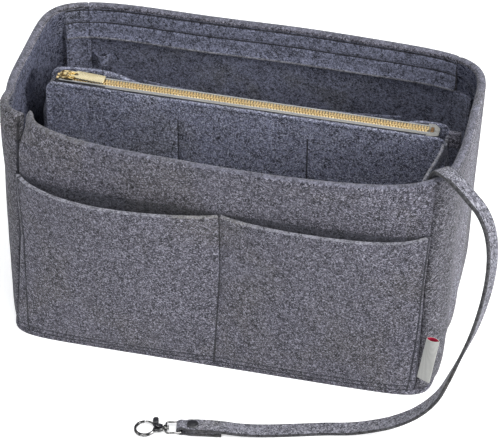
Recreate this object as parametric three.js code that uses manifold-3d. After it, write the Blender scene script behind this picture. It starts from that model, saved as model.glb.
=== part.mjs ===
// Felt organizer insert for a handbag, with a zipped inner pouch and a key lanyard.
// Millimetres, +Z up, +X along the length, the front faces -Y.
// The origin is at the middle of the footprint, on the surface it stands on.

import * as THREE from 'three';
import { mergeVertices } from 'three/addons/utils/BufferGeometryUtils.js';
import Module from 'manifold-3d';

// Felt and fits
const felt = 3;
const fitGap = 0.3;
const cutOverrun = 1;

// Tub: height, half length and how far front and back reach at the base and at the rim
const insertHeight = 190;
const rimHalfLength = 167;
const endFlare = 8.5;
const baseHalfLength = rimHalfLength - endFlare;
const footTuck = 2;
const footTuckHeight = 22;
const rimFrontReach = 91.5;
const frontFlare = 11.3;
const baseFrontReach = rimFrontReach - frontFlare;
const rimBackReach = 85.8;
const backLean = 9;
const baseBackReach = rimBackReach + backLean;

// How square the outline is, as the power of a superellipse
const basePower = 12;
const rimFrontLeftPower = 3.2;
const rimFrontRightPower = 4;
const rimBackPower = 6;
const swellPower = 3;
const outlineSteps = 720;
const turningSamples = 120;
const turnWeight = 0.6;

// Where the four corner seams stand, as shares of the half length at the base, halfway and at the rim
const seamShares = {
  frontLeft: [0.96, 0.893, 0.89],
  frontRight: [0.925, 0.91, 0.91],
  backRight: [0.855, 0.855, 0.855],
  backLeft: [0.86, 0.838, 0.815],
};

// The left end bulges out beside the front left seam, from cornerSwellStart up to the rim
const cornerSwell = 5.5;
const cornerSwellRun = 36;
const cornerSwellStart = 137;

// Rim: the felt is folded over to the inside, on the long walls as a hem that flares at its free edge
const hemDepth = 32;
const hemGap = 0.3;
const hemFlare = 1.5;
const hemFlareDepth = 6;
const wallRows = 5;
const rimArcSteps = 5;
const longWallColumns = 20;
const endWallColumns = 16;

// Base: outer felt, stiffener board and lining felt
const boardThickness = 2;
const liningThickness = 3;
const boardMargin = 1;
const baseOutlinePoints = 76;

// Outside pockets, one panel on each long wall, stitched down the middle into two
const pocketDrop = 43;
const pocketHeight = insertHeight - pocketDrop;
const pocketGape = 14;
const frontPocketGapeShares = [1, 0.607];
const backPocketGapeShares = [0.8, 0.8];
const pocketEndMargin = 2.5;
const pocketMiddleShare = 0.503;
const pocketColumns = 24;
const pocketRows = 5;
const pocketSwellPower = 0.6;

// Inside pocket on the back wall
const innerPocketFelt = 2;
const innerPocketDrop = 68;
const innerPocketHeight = insertHeight - innerPocketDrop;
const innerPocketGape = 7;
const innerPocketEndMargin = 40;
const innerPocketColumns = 12;

// Pen loop on the back wall
const penLoopFelt = 1.6;
const penLoopWidth = 9.4;
const penLoopRise = 5.8;
const penLoopHeight = 8.5;
const penLoopCentreShare = -0.7635;
const penLoopDrop = 57;
const penLoopBottom = insertHeight - penLoopDrop;

// Corner seam strips
const stripFelt = 2;
const stripGap = 0.8;
const stripWidth = 21;
const stripColumns = 5;
const stripRows = 4;

// Folded side label in the front right seam
const labelCloth = 0.6;
const labelHeight = 41;
const labelReach = 9.5;
const labelBottom = 15;
const labelLoop = 3.2;
const labelTurnDegrees = 40;
const labelStandoff = 0.5;

// Zipped inner pouch
const pouchFelt = 2.4;
const pouchEndRoom = 13.5;
const pouchLength = 2 * (baseHalfLength - pouchEndRoom);
const pouchThickness = 19;
const pouchDrop = 15;
const pouchTop = insertHeight - pouchDrop;
const pouchCornerRadius = 12;
const pouchTopRadius = 7;
const pouchCentreX = 1.5;
const pouchCentreY = 7.4;
const pouchPocketHeight = 120;
const pouchPocketFelt = 1.2;

// Hook and loop strips that hold the pouch to the floor of the tub
const gripThickness = 1.6;
const gripLength = 180;
const gripWidth = 16;

// Zip chain
const tapeThickness = 0.8;
const tapeDrop = 1;
const chainHalfWidth = 2.9;
const chainThickness = 2.5;
const toothPitch = 2.8;
const toothRoot = 1.1;
const toothTip = 0.8;
const toothReach = 0.75;
const toothSpine = 1.8;
const chainLeftMargin = 6;
const chainRightMargin = 13;
const chainLength = pouchLength - chainLeftMargin - chainRightMargin;
const tapeEndMargin = 3.5;
const stopLength = 2.4;
const stopWidth = 2.2;
const endStopWidth = 5.6;

// Zip slider
const sliderLength = 11;
const sliderWidth = 8.8;
const sliderNose = 3;
const sliderPlate = 1.3;
const sliderFlange = 0.9;
const sliderFlangeDrop = 0.9;
const crownLength = 8;
const crownWidth = 1.6;
const crownBar = 1.3;
const crownLeg = 1.5;
const crownOpening = 2.2;

// Zip pull
const pullLength = 27;
const pullWidth = 8.6;
const pullNeck = 5.6;
const pullNeckLength = 5;
const pullThickness = 1.2;
const pullEndBar = 1.4;
const pullSlotLength = 6.2;
const pullSlotWidth = 2.8;
const pullCornerRadius = 1.2;
const pullTiltDegrees = 3.5;
const pullBarOffset = 1.5;
const pullBarLift = 1.05;

// End tab of the pouch
const tabFelt = 1.8;
const tabWidth = 9;
const tabHeight = 13;
const tabDrop = 13.2;

// Lanyard strap: centre line by hand, then the heading and lean of its width in degrees.
// The route was laid for a pouch that ends at routePouchRight, and moves along with that end.
const strapWidth = 12;
const strapFelt = 2.4;
const strapEdge = 0.5;
const strapSteps = 66;
const routePouchRight = 146.5;
const strapRoute = [
  [145.2, -2.85, 166.0, 37, 90],
  [144.6, -10.5, 165.2, 37, 90],
  [142.6, -20.5, 163.8, 37, 90],
  [139.6, -31.0, 161.6, 37, 90],
  [137.5, -41.0, 159.5, 37, 86],
  [139.5, -46.5, 160.5, 37, 72],
  [143.5, -50.5, 166.5, 37, 46],
  [146.5, -53.5, 175.6, 37, 20],
  [148.5, -56.5, 185.0, 37, 4],
  [151.5, -60.0, 193.2, 40, 0],
  [156.5, -65.5, 196.4, 48, 0],
  [162.5, -70.0, 195.6, 58, 0],
  [168.8, -74.0, 192.6, 65, 0],
  [176.0, -78.2, 188.0, 66, 0],
  [184.0, -82.2, 181.6, 66, 0],
  [190.4, -86.4, 172.2, 66, 0],
  [194.4, -90.8, 159.6, 66, 0],
  [195.8, -95.2, 145.0, 66, 0],
  [195.0, -99.4, 128.4, 67, 0],
  [192.4, -103.4, 111.0, 69, 0],
  [188.0, -107.2, 92.4, 73, 0],
  [181.6, -111.0, 73.4, 80, 0],
  [175.0, -114.6, 54.8, 88, 0],
  [167.4, -118.0, 37.6, 95, 0],
  [155.2, -121.0, 23.2, 99, 0],
  [139.3, -123.4, 12.4, 100, 0],
  [122.0, -125.4, 5.4, 100, 0],
  [107.0, -127.8, 2.2, 102, 0],
  [91.0, -131.0, 1.5, 105, 0],
  [74.0, -136.0, 1.5, 106, 0],
  [57.0, -140.9, 1.5, 104, 0],
  [44.0, -144.5, 1.9, 102, 0],
  [32.2, -147.5, 3.0, 101, 0],
  [23.4, -149.2, 4.2, 101, 0],
];

// Lanyard end: the strap folds round the clasp's eye and is held shut by a snap
const strapEndDegrees = 191;
const loopStart = [23.0, -149.28, 4.2];
const snapBack = 24;
const foldBack = 32;
const foldHeight = 3.9;
const foldRadius = 2.55;
const upperHeight = 5.7;
const tailHeight = 2.0;
const tailEndHeight = 1.5;
const tailLength = 28.5;
const foldWidth = 9;
const foldTaper = 7;
const foldRiseShare = 0.62;
const loopSteps = 40;

// Snap fastener
const snapCapRadius = 4.5;
const snapCapRise = 1.3;
const snapRimRise = 0.4;
const snapDiscRadius = 3.6;
const snapDiscThickness = 0.4;
const snapStemRadius = 1.2;
const snapHoleRadius = 1.6;
const snapBoreRadius = 1.9;
const snapPostThickness = 0.5;
const snapGap = 0.12;

// Clasp: eye and swivel collar, claw, trigger
const claspLength = 34;
const wire = 1.5;
const eyeInnerWidth = 9.8;
const eyeLength = 9.6;
const eyeCorner = 1.8;
const collarLength = 2.4;
const collarRadius = 2.3;
const stemRadius = 1.0;
const stemHeadRadius = 1.7;
const stemHeadLength = 1.0;
const stemShoulder = 0.2;
const clawThickness = 2.8;
const clawRingRadius = 8;
const clawBand = 2;
const clawBodyHalfWidth = 3.2;
const clawBodyStart = 13.3;
const pinDistance = 16.8;
const pinOffset = 0.8;
const pinRadius = 0.8;
const pinHeadRadius = 1.4;
const pinHeadThickness = 0.4;
const leverThickness = 1.0;
const leverHubRadius = 1.75;
const leverSlotRadius = 3.2;
const leverSlotFloor = 2.05;
const nubWidth = 4;
const nubReach = 10.6;
const nubStart = 4.6;
const nubThickness = 2.4;
const nubShift = 1.8;
const gateFromDegrees = 88;
const gateToDegrees = 150;
const gateCutRadius = 10.2;
const clawTipDegrees = 115;
const clawRootDegrees = -160;
const springRadius = 0.45;
const springBore = 0.2;
const springLength = 1.3;
const springOffset = 2.6;
const floorGap = 0.05;

const wasm = await Module();
wasm.setup();

const degrees = Math.PI / 180;
const object = new THREE.Group();

// Places that several pieces share
const liningTop = felt + boardThickness + liningThickness;
const hemThickness = 2 * felt + hemGap;
const rimRadius = hemThickness / 2;
const pouchBottom = liningTop + 2 * gripThickness + fitGap;
const pouchFront = pouchCentreY - pouchThickness / 2;
const pouchBack = pouchCentreY + pouchThickness / 2;
const pouchLeft = pouchCentreX - pouchLength / 2;
const pouchRight = pouchCentreX + pouchLength / 2;
const tapeTop = pouchTop - tapeDrop;
const chainMiddle = tapeTop - tapeThickness / 2;
const chainTop = chainMiddle + chainThickness / 2;
const chainBottom = chainMiddle - chainThickness / 2;
const chainLeft = pouchLeft + chainLeftMargin;
const chainRight = chainLeft + chainLength;

function lerp(from, to, share) {
  return from + (to - from) * share;
}

// Materials
function finish(colour, roughness, metalness = 0) {
  return new THREE.MeshStandardMaterial({ color: colour, roughness, metalness });
}

const feltGrey = finish(0x6a6c78, 0.95);
const feltDark = finish(0x5b5d69, 0.95);
const boardGrey = finish(0x8d8d8a, 0.8);
const gripBlack = finish(0x33343a, 0.9);
const tapeGrey = finish(0x55565c, 0.9);
const brassTeeth = finish(0xd9b36a, 0.3, 1);
const paleGold = finish(0xe9d6a4, 0.25, 1);
const stopBrown = finish(0x8a6a45, 0.4, 1);
const chrome = finish(0xb9b9b8, 0.2, 1);
const gunmetal = finish(0x4b4c55, 0.35, 1);
const labelGrey = finish(0xbfbfba, 0.85);

// Mesh helpers
function place(name, geometry, material, parent = object) {
  const mesh = new THREE.Mesh(geometry, material);
  mesh.name = name;
  parent.add(mesh);
  return mesh;
}

function toSolid(geometry) {
  const bare = geometry.clone();
  bare.deleteAttribute('normal');
  bare.deleteAttribute('uv');
  const merged = mergeVertices(bare);
  const vertProperties = new Float32Array(merged.attributes.position.array);
  const triVerts = new Uint32Array(merged.index.array);
  return new wasm.Manifold(new wasm.Mesh({ numProp: 3, vertProperties, triVerts }));
}

function toGeometry(solid) {
  const mesh = solid.getMesh();
  const geometry = new THREE.BufferGeometry();
  geometry.setAttribute('position', new THREE.BufferAttribute(mesh.vertProperties, 3));
  geometry.setIndex(new THREE.BufferAttribute(mesh.triVerts, 1));
  geometry.computeVertexNormals();
  return geometry;
}

// Triangles of an end cap. The first and last points of the outline pair up into rows, which keep
// a tall section true where it is bent in height, and what is left between them is a polygon.
function capTriangles(outline, rows) {
  const triangles = [];
  const last = outline.length - 1;
  for (let i = 0; i < rows; i += 1) {
    triangles.push([i, i + 1, last - i], [i + 1, last - i - 1, last - i]);
  }
  const rest = outline.slice(rows, outline.length - rows);
  if (rest.length > 2) {
    const clockwise = THREE.ShapeUtils.isClockWise(rest);
    for (const triangle of THREE.ShapeUtils.triangulateShape(rest, [])) {
      const turned = clockwise ? [...triangle].reverse() : triangle;
      triangles.push(turned.map((corner) => corner + rows));
    }
  }
  return triangles;
}

// Closed body through equal rings of points, with both ends capped. The outline of the cap is
// given as points in the plane of the section.
function loftRings(rings, capOutline, capRows = 0) {
  const ringSize = rings[0].length;
  const positions = rings.flat().flatMap((point) => [point.x, point.y, point.z]);
  const index = [];
  for (let i = 0; i < rings.length - 1; i += 1) {
    for (let j = 0; j < ringSize; j += 1) {
      const a = i * ringSize + j;
      const b = i * ringSize + ((j + 1) % ringSize);
      index.push(a, b, b + ringSize, a, b + ringSize, a + ringSize);
    }
  }
  const lastRing = (rings.length - 1) * ringSize;
  for (const [a, b, c] of capTriangles(capOutline, capRows)) {
    index.push(c, b, a);
    index.push(lastRing + a, lastRing + b, lastRing + c);
  }
  const geometry = new THREE.BufferGeometry();
  geometry.setAttribute('position', new THREE.Float32BufferAttribute(positions, 3));
  geometry.setIndex(index);
  return outwards(geometry);
}

// Turns the faces of a closed body outwards where its volume comes out negative
function outwards(geometry) {
  const { position } = geometry.attributes;
  const index = geometry.index.array;
  const corners = [new THREE.Vector3(), new THREE.Vector3(), new THREE.Vector3()];
  let volume = 0;
  for (let i = 0; i < index.length; i += 3) {
    corners.forEach((corner, k) => corner.fromBufferAttribute(position, index[i + k]));
    volume += corners[0].dot(corners[1].clone().cross(corners[2]));
  }
  if (volume < 0) {
    for (let i = 0; i < index.length; i += 3) {
      [index[i], index[i + 1]] = [index[i + 1], index[i]];
    }
  }
  geometry.computeVertexNormals();
  return geometry;
}

// Outline of the tub at one height: a superellipse, squarer at the back than at the front rim
function outlineShape(height) {
  const rise = height / insertHeight;
  const tuck = footTuck * Math.max(0, 1 - height / footTuckHeight) ** 2;
  return {
    halfLength: lerp(baseHalfLength, rimHalfLength, rise) - tuck,
    frontReach: lerp(baseFrontReach, rimFrontReach, rise ** swellPower),
    backReach: lerp(baseBackReach, rimBackReach, rise),
    frontLeftPower: lerp(basePower, rimFrontLeftPower, rise),
    frontRightPower: lerp(basePower, rimFrontRightPower, rise),
    backPower: lerp(basePower, rimBackPower, rise),
  };
}

function superPoint(angle, shape) {
  const front = Math.sin(angle) < 0;
  const along = Math.cos(angle);
  const frontPower = along < 0 ? shape.frontLeftPower : shape.frontRightPower;
  const power = front ? frontPower : shape.backPower;
  const reach = front ? shape.frontReach : shape.backReach;
  const across = Math.sin(angle);
  return new THREE.Vector2(
    shape.halfLength * Math.sign(along) * Math.abs(along) ** (2 / power),
    reach * Math.sign(across) * Math.abs(across) ** (2 / power),
  );
}

const outlines = new Map();

// Points round the tub with their running length, from the left middle by way of the front
function outlineAt(height) {
  if (outlines.has(height)) {
    return outlines.get(height);
  }
  const shape = outlineShape(height);
  const points = [];
  const lengths = [0];
  for (let i = 0; i <= outlineSteps; i += 1) {
    points.push(superPoint(-Math.PI + (2 * Math.PI * i) / outlineSteps, shape));
    if (i > 0) {
      lengths.push(lengths[i - 1] + points[i].distanceTo(points[i - 1]));
    }
  }
  const outline = { shape, points, lengths, total: lengths[outlineSteps] };
  outlines.set(height, outline);
  return outline;
}

function pointAlong(outline, run) {
  const wrapped = ((run % outline.total) + outline.total) % outline.total;
  let low = 0;
  let high = outlineSteps;
  while (high - low > 1) {
    const middle = (low + high) >> 1;
    if (outline.lengths[middle] <= wrapped) {
      low = middle;
    } else {
      high = middle;
    }
  }
  const span = outline.lengths[high] - outline.lengths[low];
  const share = span > 0 ? (wrapped - outline.lengths[low]) / span : 0;
  return outline.points[low].clone().lerp(outline.points[high], share);
}

// Point on the tub at a running length, moved inwards, at one height
function shellPoint(height, run, inset) {
  const outline = outlineAt(height);
  const before = pointAlong(outline, run - felt);
  const after = pointAlong(outline, run + felt);
  const tangent = after.sub(before).normalize();
  const spot = pointAlong(outline, run);
  return new THREE.Vector3(spot.x - tangent.y * inset, spot.y + tangent.x * inset, height);
}

// Running length at which the front or back of the tub passes a given X
function runAtX(height, x, atFront) {
  const outline = outlineAt(height);
  const half = outlineSteps / 2;
  const first = atFront ? 0 : half;
  for (let i = first; i < first + half; i += 1) {
    const a = outline.points[i].x;
    const b = outline.points[i + 1].x;
    if ((a - x) * (b - x) <= 0 && a !== b) {
      return lerp(outline.lengths[i], outline.lengths[i + 1], (x - a) / (b - a));
    }
  }
  return outline.lengths[first];
}

// The four seams in walking order
function seamRun(seam, height) {
  const { halfLength } = outlineAt(height).shape;
  const [foot, middle, rim] = seamShares[seam];
  const climb = (2 * height) / insertHeight;
  const share = climb < 1 ? lerp(foot, middle, climb) : lerp(middle, rim, climb - 1);
  const side = seam.endsWith('Left') ? -1 : 1;
  return runAtX(height, side * share * halfLength, seam.startsWith('front'));
}

// Heading of the outline at a running length, in the plane of the floor
function headingAt(height, run) {
  const outline = outlineAt(height);
  return pointAlong(outline, run + felt).sub(pointAlong(outline, run - felt)).angle();
}

// Shares of the way between two running lengths, closer together where the tub turns
function turningShares(from, to, columns) {
  const levels = [felt, insertHeight / 2, insertHeight];
  const weights = [0];
  for (let k = 1; k <= turningSamples; k += 1) {
    let weight = 1 / turningSamples;
    for (const height of levels) {
      const [before, after] = [k - 1, k].map((sample) =>
        headingAt(height, lerp(from(height), to(height), sample / turningSamples)),
      );
      const turn = Math.abs(Math.sin(after - before));
      weight += (turnWeight * turn) / levels.length;
    }
    weights.push(weights[k - 1] + weight);
  }
  const shares = [];
  let sample = 0;
  for (let i = 0; i <= columns; i += 1) {
    const target = (weights[turningSamples] * i) / columns;
    while (sample < turningSamples - 1 && weights[sample + 1] < target) {
      sample += 1;
    }
    const within = (target - weights[sample]) / (weights[sample + 1] - weights[sample]);
    shares.push((sample + within) / turningSamples);
  }
  return shares;
}

// Section of a wall as height and inset: up the outside, over the rim, down the inside. The long
// walls have a hem with a free edge there, and on the ends the fold tapers into the wall.
function wallSection(hemmed) {
  const section = [];
  const shoulder = insertHeight - rimRadius;
  const hemEdge = insertHeight - hemDepth;
  for (let i = 0; i <= wallRows; i += 1) {
    section.push({ height: lerp(felt, hemEdge, i / wallRows), inset: 0 });
  }
  for (let i = 0; i < rimArcSteps; i += 1) {
    const angle = (Math.PI * i) / rimArcSteps;
    section.push({
      height: shoulder + rimRadius * Math.sin(angle),
      inset: rimRadius * (1 - Math.cos(angle)),
    });
  }
  section.push({ height: shoulder, inset: hemThickness });
  if (hemmed) {
    section.push({ height: hemEdge + hemFlareDepth, inset: hemThickness });
    section.push({ height: hemEdge, inset: hemThickness + hemFlare });
    section.push({ height: hemEdge, inset: felt + hemGap + hemFlare });
    section.push({ height: hemEdge + hemFlareDepth, inset: felt });
  }
  for (let i = wallRows; i >= 0; i -= 1) {
    section.push({ height: lerp(felt, hemEdge, i / wallRows), inset: felt });
  }
  return section;
}

// A sheet that follows the tub between two running lengths. section(share) gives its height and
// inset points, the same number at every share; from and to give the ends at a height.
function followTub(from, to, columns, section, capRows) {
  const rings = turningShares(from, to, columns).map((share) =>
    section(share).map(({ height, inset }) =>
      shellPoint(height, lerp(from(height), to(height), share), inset),
    ),
  );
  const cap = section(0).map(({ height, inset }) => new THREE.Vector2(inset, height));
  return loftRings(rings, cap, capRows);
}

// How far the left end bulges out at a distance from the front left seam
function cornerSwellAt(distance, height) {
  const climb = Math.max(0, height - cornerSwellStart) / (insertHeight - cornerSwellStart);
  const share = Math.min(1, distance / cornerSwellRun);
  return cornerSwell * climb * Math.sin(Math.PI * share);
}

function makeWalls() {
  const walls = [
    ['front_wall', 'frontLeft', 'frontRight', longWallColumns, true],
    ['right_end_wall', 'frontRight', 'backRight', endWallColumns, false],
    ['back_wall', 'backRight', 'backLeft', longWallColumns, true],
    ['left_end_wall', 'backLeft', 'frontLeft', endWallColumns, false],
  ];
  for (const [name, fromSeam, toSeam, columns, hemmed] of walls) {
    const from = (height) => seamRun(fromSeam, height) + fitGap / 2;
    const to = (height) => {
      const run = seamRun(toSeam, height) - fitGap / 2;
      return fromSeam === 'backLeft' ? run + outlineAt(height).total : run;
    };
    const flat = wallSection(hemmed);
    const swollen = (share) =>
      flat.map(({ height, inset }) => {
        const distance = (1 - share) * (to(height) - from(height));
        return { height, inset: inset - cornerSwellAt(distance, height) };
      });
    const section = toSeam === 'frontLeft' ? swollen : () => flat;
    place(name, followTub(from, to, columns, section, wallRows), feltGrey);
  }
}

// Flat sheet of the base, grown or shrunk from the outline of the tub at a height
function baseSheet(growX, growY, bottom, thickness) {
  const shape = outlineShape(felt);
  shape.halfLength += growX;
  shape.frontReach += growY;
  shape.backReach += growY;
  const outline = new THREE.Shape();
  for (let i = 0; i < baseOutlinePoints; i += 1) {
    const point = superPoint((2 * Math.PI * (i + 0.5)) / baseOutlinePoints, shape);
    if (i === 0) {
      outline.moveTo(point.x, point.y);
    } else {
      outline.lineTo(point.x, point.y);
    }
  }
  const geometry = new THREE.ExtrudeGeometry(outline, { depth: thickness, bevelEnabled: false });
  geometry.translate(0, 0, bottom);
  return geometry;
}

function makeBase() {
  const shrink = -(felt + boardMargin);
  const grow = felt + fitGap;
  place('base_outer', baseSheet(0, grow, 0, felt), feltDark);
  place('base_board', baseSheet(shrink, shrink, felt, boardThickness), boardGrey);
  place(
    'base_lining',
    baseSheet(shrink, shrink, felt + boardThickness, liningThickness),
    feltGrey,
  );
}

// Two bulges side by side that are zero at both ends and at the middle stitch
function twoPocketBulge(share, middleShare, bulgeShares) {
  const left = share < middleShare;
  const local = left ? share / middleShare : (share - middleShare) / (1 - middleShare);
  return Math.sin(Math.PI * Math.min(1, Math.max(0, local))) ** 0.7 * bulgeShares[left ? 0 : 1];
}

// Panel sewn flat at its foot and sides, standing off the wall towards its free top edge
function pocketSection(bottom, top, rows, nearInset, side, thickness, gapeAt) {
  return (share) => {
    const near = [];
    const far = [];
    for (let i = 0; i <= rows; i += 1) {
      const height = lerp(bottom, top, i / rows);
      const rise = (i / rows) ** pocketSwellPower;
      const inset = nearInset + side * gapeAt(share) * rise;
      near.push({ height, inset });
      far.push({ height, inset: inset + side * thickness });
    }
    return [...near, ...far.reverse()];
  };
}

function makeOutsidePockets() {
  const sides = [
    ['front_pocket', 'frontLeft', 'frontRight', pocketMiddleShare, frontPocketGapeShares],
    ['back_pocket', 'backRight', 'backLeft', 0.5, backPocketGapeShares],
  ];
  for (const [name, fromSeam, toSeam, middleShare, gapeShares] of sides) {
    const from = (height) => seamRun(fromSeam, height) + pocketEndMargin;
    const to = (height) => seamRun(toSeam, height) - pocketEndMargin;
    const gapeAt = (share) => pocketGape * twoPocketBulge(share, middleShare, gapeShares);
    const section = pocketSection(
      felt, pocketHeight, pocketRows, -fitGap, -1, felt, gapeAt,
    );
    place(name, followTub(from, to, pocketColumns, section, pocketRows), feltGrey);
  }
}

function makeInnerPocket() {
  const from = (height) => seamRun('backRight', height) + innerPocketEndMargin;
  const to = (height) => seamRun('backLeft', height) - innerPocketEndMargin;
  const gapeAt = (share) => innerPocketGape * Math.sin(Math.PI * share) ** 0.7;
  const section = pocketSection(
    liningTop, innerPocketHeight, pocketRows, felt + fitGap, 1, innerPocketFelt, gapeAt,
  );
  const pocket = followTub(from, to, innerPocketColumns, section, pocketRows);
  place('inner_back_pocket', pocket, feltGrey);
}

// Small felt bridge that holds a pen against the back wall
function makePenLoop() {
  const half = penLoopWidth / 2;
  const foot = penLoopWidth / 3;
  const top = penLoopBottom + penLoopHeight;
  const [left, right] = [-1, 1].map((side) => {
    const x = penLoopCentreShare * rimHalfLength + side * (half + foot);
    return shellPoint(top, runAtX(top, x, false), felt + fitGap);
  });
  const chord = right.clone().sub(left);
  const seat = left.clone().lerp(right, 0.5);
  const outline = new THREE.Shape();
  outline.moveTo(-half - foot, 0);
  outline.lineTo(-half, 0);
  outline.absellipse(0, 0, half, penLoopRise, Math.PI, 0, true, 0);
  outline.lineTo(half + foot, 0);
  outline.lineTo(half + foot, penLoopFelt);
  outline.lineTo(half + penLoopFelt, penLoopFelt);
  outline.absellipse(
    0, penLoopFelt, half + penLoopFelt, penLoopRise, 0, Math.PI, false, 0,
  );
  outline.lineTo(-half - foot, penLoopFelt);
  const geometry = new THREE.ExtrudeGeometry(outline, {
    depth: penLoopHeight, bevelEnabled: false, curveSegments: 6,
  });
  const loop = place('pen_loop', geometry, feltDark);
  loop.rotation.z = Math.PI + Math.atan2(chord.y, chord.x);
  loop.position.set(seat.x, seat.y, penLoopBottom);
}

// Felt strips that cover the four corner seams inside, from the lining up to the hem
function makeSeamStrips() {
  const top = insertHeight - hemDepth - fitGap;
  const section = [];
  for (let i = 0; i <= stripRows; i += 1) {
    section.push({ height: lerp(liningTop, top, i / stripRows), inset: felt + stripGap });
  }
  for (let i = stripRows; i >= 0; i -= 1) {
    section.push({
      height: lerp(liningTop, top, i / stripRows),
      inset: felt + stripGap + stripFelt,
    });
  }
  const strips = [
    ['front_left_seam_strip', 'frontLeft', 0.5],
    ['front_right_seam_strip', 'frontRight', 0.5],
    ['back_right_seam_strip', 'backRight', 0.8],
    ['back_left_seam_strip', 'backLeft', 0.02],
  ];
  for (const [name, seam, beforeShare] of strips) {
    const from = (height) => seamRun(seam, height) - stripWidth * beforeShare;
    const to = (height) => seamRun(seam, height) + stripWidth * (1 - beforeShare);
    place(name, followTub(from, to, stripColumns, () => section, stripRows), feltDark);
  }
}

// Cloth label folded into a loop and sewn into the front right corner seam
function makeLabel() {
  const middle = labelBottom + labelHeight / 2;
  const foot = shellPoint(middle, seamRun('frontRight', middle), -labelStandoff - labelLoop);
  const half = labelLoop / 2;
  const reach = labelReach - half;
  const outline = new THREE.Shape();
  outline.moveTo(0, labelCloth / 2);
  outline.lineTo(reach, half);
  outline.absarc(reach, 0, half, Math.PI / 2, -Math.PI / 2, true);
  outline.lineTo(0, -labelCloth / 2);
  outline.lineTo(-labelCloth, -labelCloth / 2);
  outline.lineTo(-labelCloth, -labelCloth * 1.5);
  outline.lineTo(0, -labelCloth * 1.5);
  outline.lineTo(reach, -half - labelCloth);
  outline.absarc(reach, 0, half + labelCloth, -Math.PI / 2, Math.PI / 2, false);
  outline.lineTo(0, labelCloth * 1.5);
  outline.lineTo(-labelCloth, labelCloth * 1.5);
  outline.lineTo(-labelCloth, labelCloth / 2);
  const geometry = new THREE.ExtrudeGeometry(outline, {
    depth: labelHeight, bevelEnabled: false, curveSegments: 6,
  });
  const label = place('side_label', geometry, labelGrey);
  label.rotation.z = labelTurnDegrees * degrees;
  label.position.set(foot.x, foot.y, labelBottom);
}

// Outline of the pouch in X and height, with its corners rounded
function pouchOutline(inset, topCut) {
  const left = pouchLeft + inset;
  const right = pouchRight - inset;
  const bottom = pouchBottom + inset;
  const top = topCut;
  const radius = pouchCornerRadius - inset;
  const topRadius = pouchTopRadius - inset;
  const outline = new THREE.Shape();
  outline.moveTo(left + radius, bottom);
  outline.lineTo(right - radius, bottom);
  outline.absarc(right - radius, bottom + radius, radius, -Math.PI / 2, 0, false);
  outline.lineTo(right, top - topRadius);
  outline.absarc(right - topRadius, top - topRadius, topRadius, 0, Math.PI / 2, false);
  outline.lineTo(left + topRadius, top);
  outline.absarc(left + topRadius, top - topRadius, topRadius, Math.PI / 2, Math.PI, false);
  outline.lineTo(left, bottom + radius);
  outline.absarc(left + radius, bottom + radius, radius, Math.PI, Math.PI * 1.5, false);
  return outline;
}

// Extrudes an outline drawn in X and height along +Y
function extrudeAlongY(outline, fromY, depth, curveSegments = 6) {
  const geometry = new THREE.ExtrudeGeometry(outline, {
    depth, bevelEnabled: false, curveSegments,
  });
  geometry.rotateX(Math.PI / 2);
  geometry.translate(0, fromY + depth, 0);
  return geometry;
}

function makePouchShell(pouch) {
  const panel = pouchOutline(0, pouchTop);
  const gussetDepth = pouchThickness - 2 * pouchFelt;
  place('pouch_front_panel', extrudeAlongY(panel, pouchFront, pouchFelt), feltGrey, pouch);
  place('pouch_back_panel', extrudeAlongY(panel, pouchBack - pouchFelt, pouchFelt), feltGrey, pouch);
  // The gusset runs up one end, under the pouch and up the other, and stops below the zip tape
  const gussetTop = tapeTop - tapeThickness - pouchTopRadius - fitGap;
  const outer = pouchLeft;
  const inner = pouchLeft + pouchFelt;
  const radius = pouchCornerRadius;
  const innerRadius = pouchCornerRadius - pouchFelt;
  const gusset = new THREE.Shape();
  gusset.moveTo(outer, gussetTop);
  gusset.lineTo(outer, pouchBottom + radius);
  gusset.absarc(outer + radius, pouchBottom + radius, radius, Math.PI, Math.PI * 1.5, false);
  gusset.lineTo(pouchRight - radius, pouchBottom);
  gusset.absarc(pouchRight - radius, pouchBottom + radius, radius, -Math.PI / 2, 0, false);
  gusset.lineTo(pouchRight, gussetTop);
  gusset.lineTo(pouchRight - pouchFelt, gussetTop);
  gusset.lineTo(pouchRight - pouchFelt, pouchBottom + radius);
  gusset.absarc(pouchRight - radius, pouchBottom + radius, innerRadius, 0, -Math.PI / 2, true);
  gusset.lineTo(outer + radius, pouchBottom + pouchFelt);
  gusset.absarc(outer + radius, pouchBottom + radius, innerRadius, -Math.PI / 2, -Math.PI, true);
  gusset.lineTo(inner, gussetTop);
  place(
    'pouch_gusset',
    extrudeAlongY(gusset, pouchFront + pouchFelt, gussetDepth),
    feltDark,
    pouch,
  );
  // Slip pocket sewn to the inner side of the front panel by the two upright seams
  const pocket = new THREE.Shape();
  const pocketBottom = pouchBottom + pouchFelt + fitGap;
  const pocketEdge = pouchFelt + pouchCornerRadius;
  pocket.moveTo(pouchLeft + pocketEdge, pocketBottom);
  pocket.lineTo(pouchRight - pocketEdge, pocketBottom);
  pocket.lineTo(pouchRight - pocketEdge, pocketBottom + pouchPocketHeight);
  pocket.lineTo(pouchLeft + pocketEdge, pocketBottom + pouchPocketHeight);
  place(
    'pouch_inner_pocket',
    extrudeAlongY(pocket, pouchFront + pouchFelt, pouchPocketFelt),
    feltDark,
    pouch,
  );
}

// Folded felt tab at the pouch's right end, to hold while zipping
function makePouchTab(pouch) {
  const reach = tabWidth - tabFelt;
  const outline = new THREE.Shape();
  outline.moveTo(0, 0);
  outline.lineTo(reach, 0);
  outline.absarc(reach, tabFelt, tabFelt, -Math.PI / 2, Math.PI / 2, false);
  outline.lineTo(0, 2 * tabFelt);
  const geometry = new THREE.ExtrudeGeometry(outline, {
    depth: tabHeight, bevelEnabled: false, curveSegments: 5,
  });
  const tab = place('pouch_end_tab', geometry, feltGrey, pouch);
  tab.position.set(pouchRight + fitGap, pouchCentreY - tabFelt, pouchTop - tabDrop);
}

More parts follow.
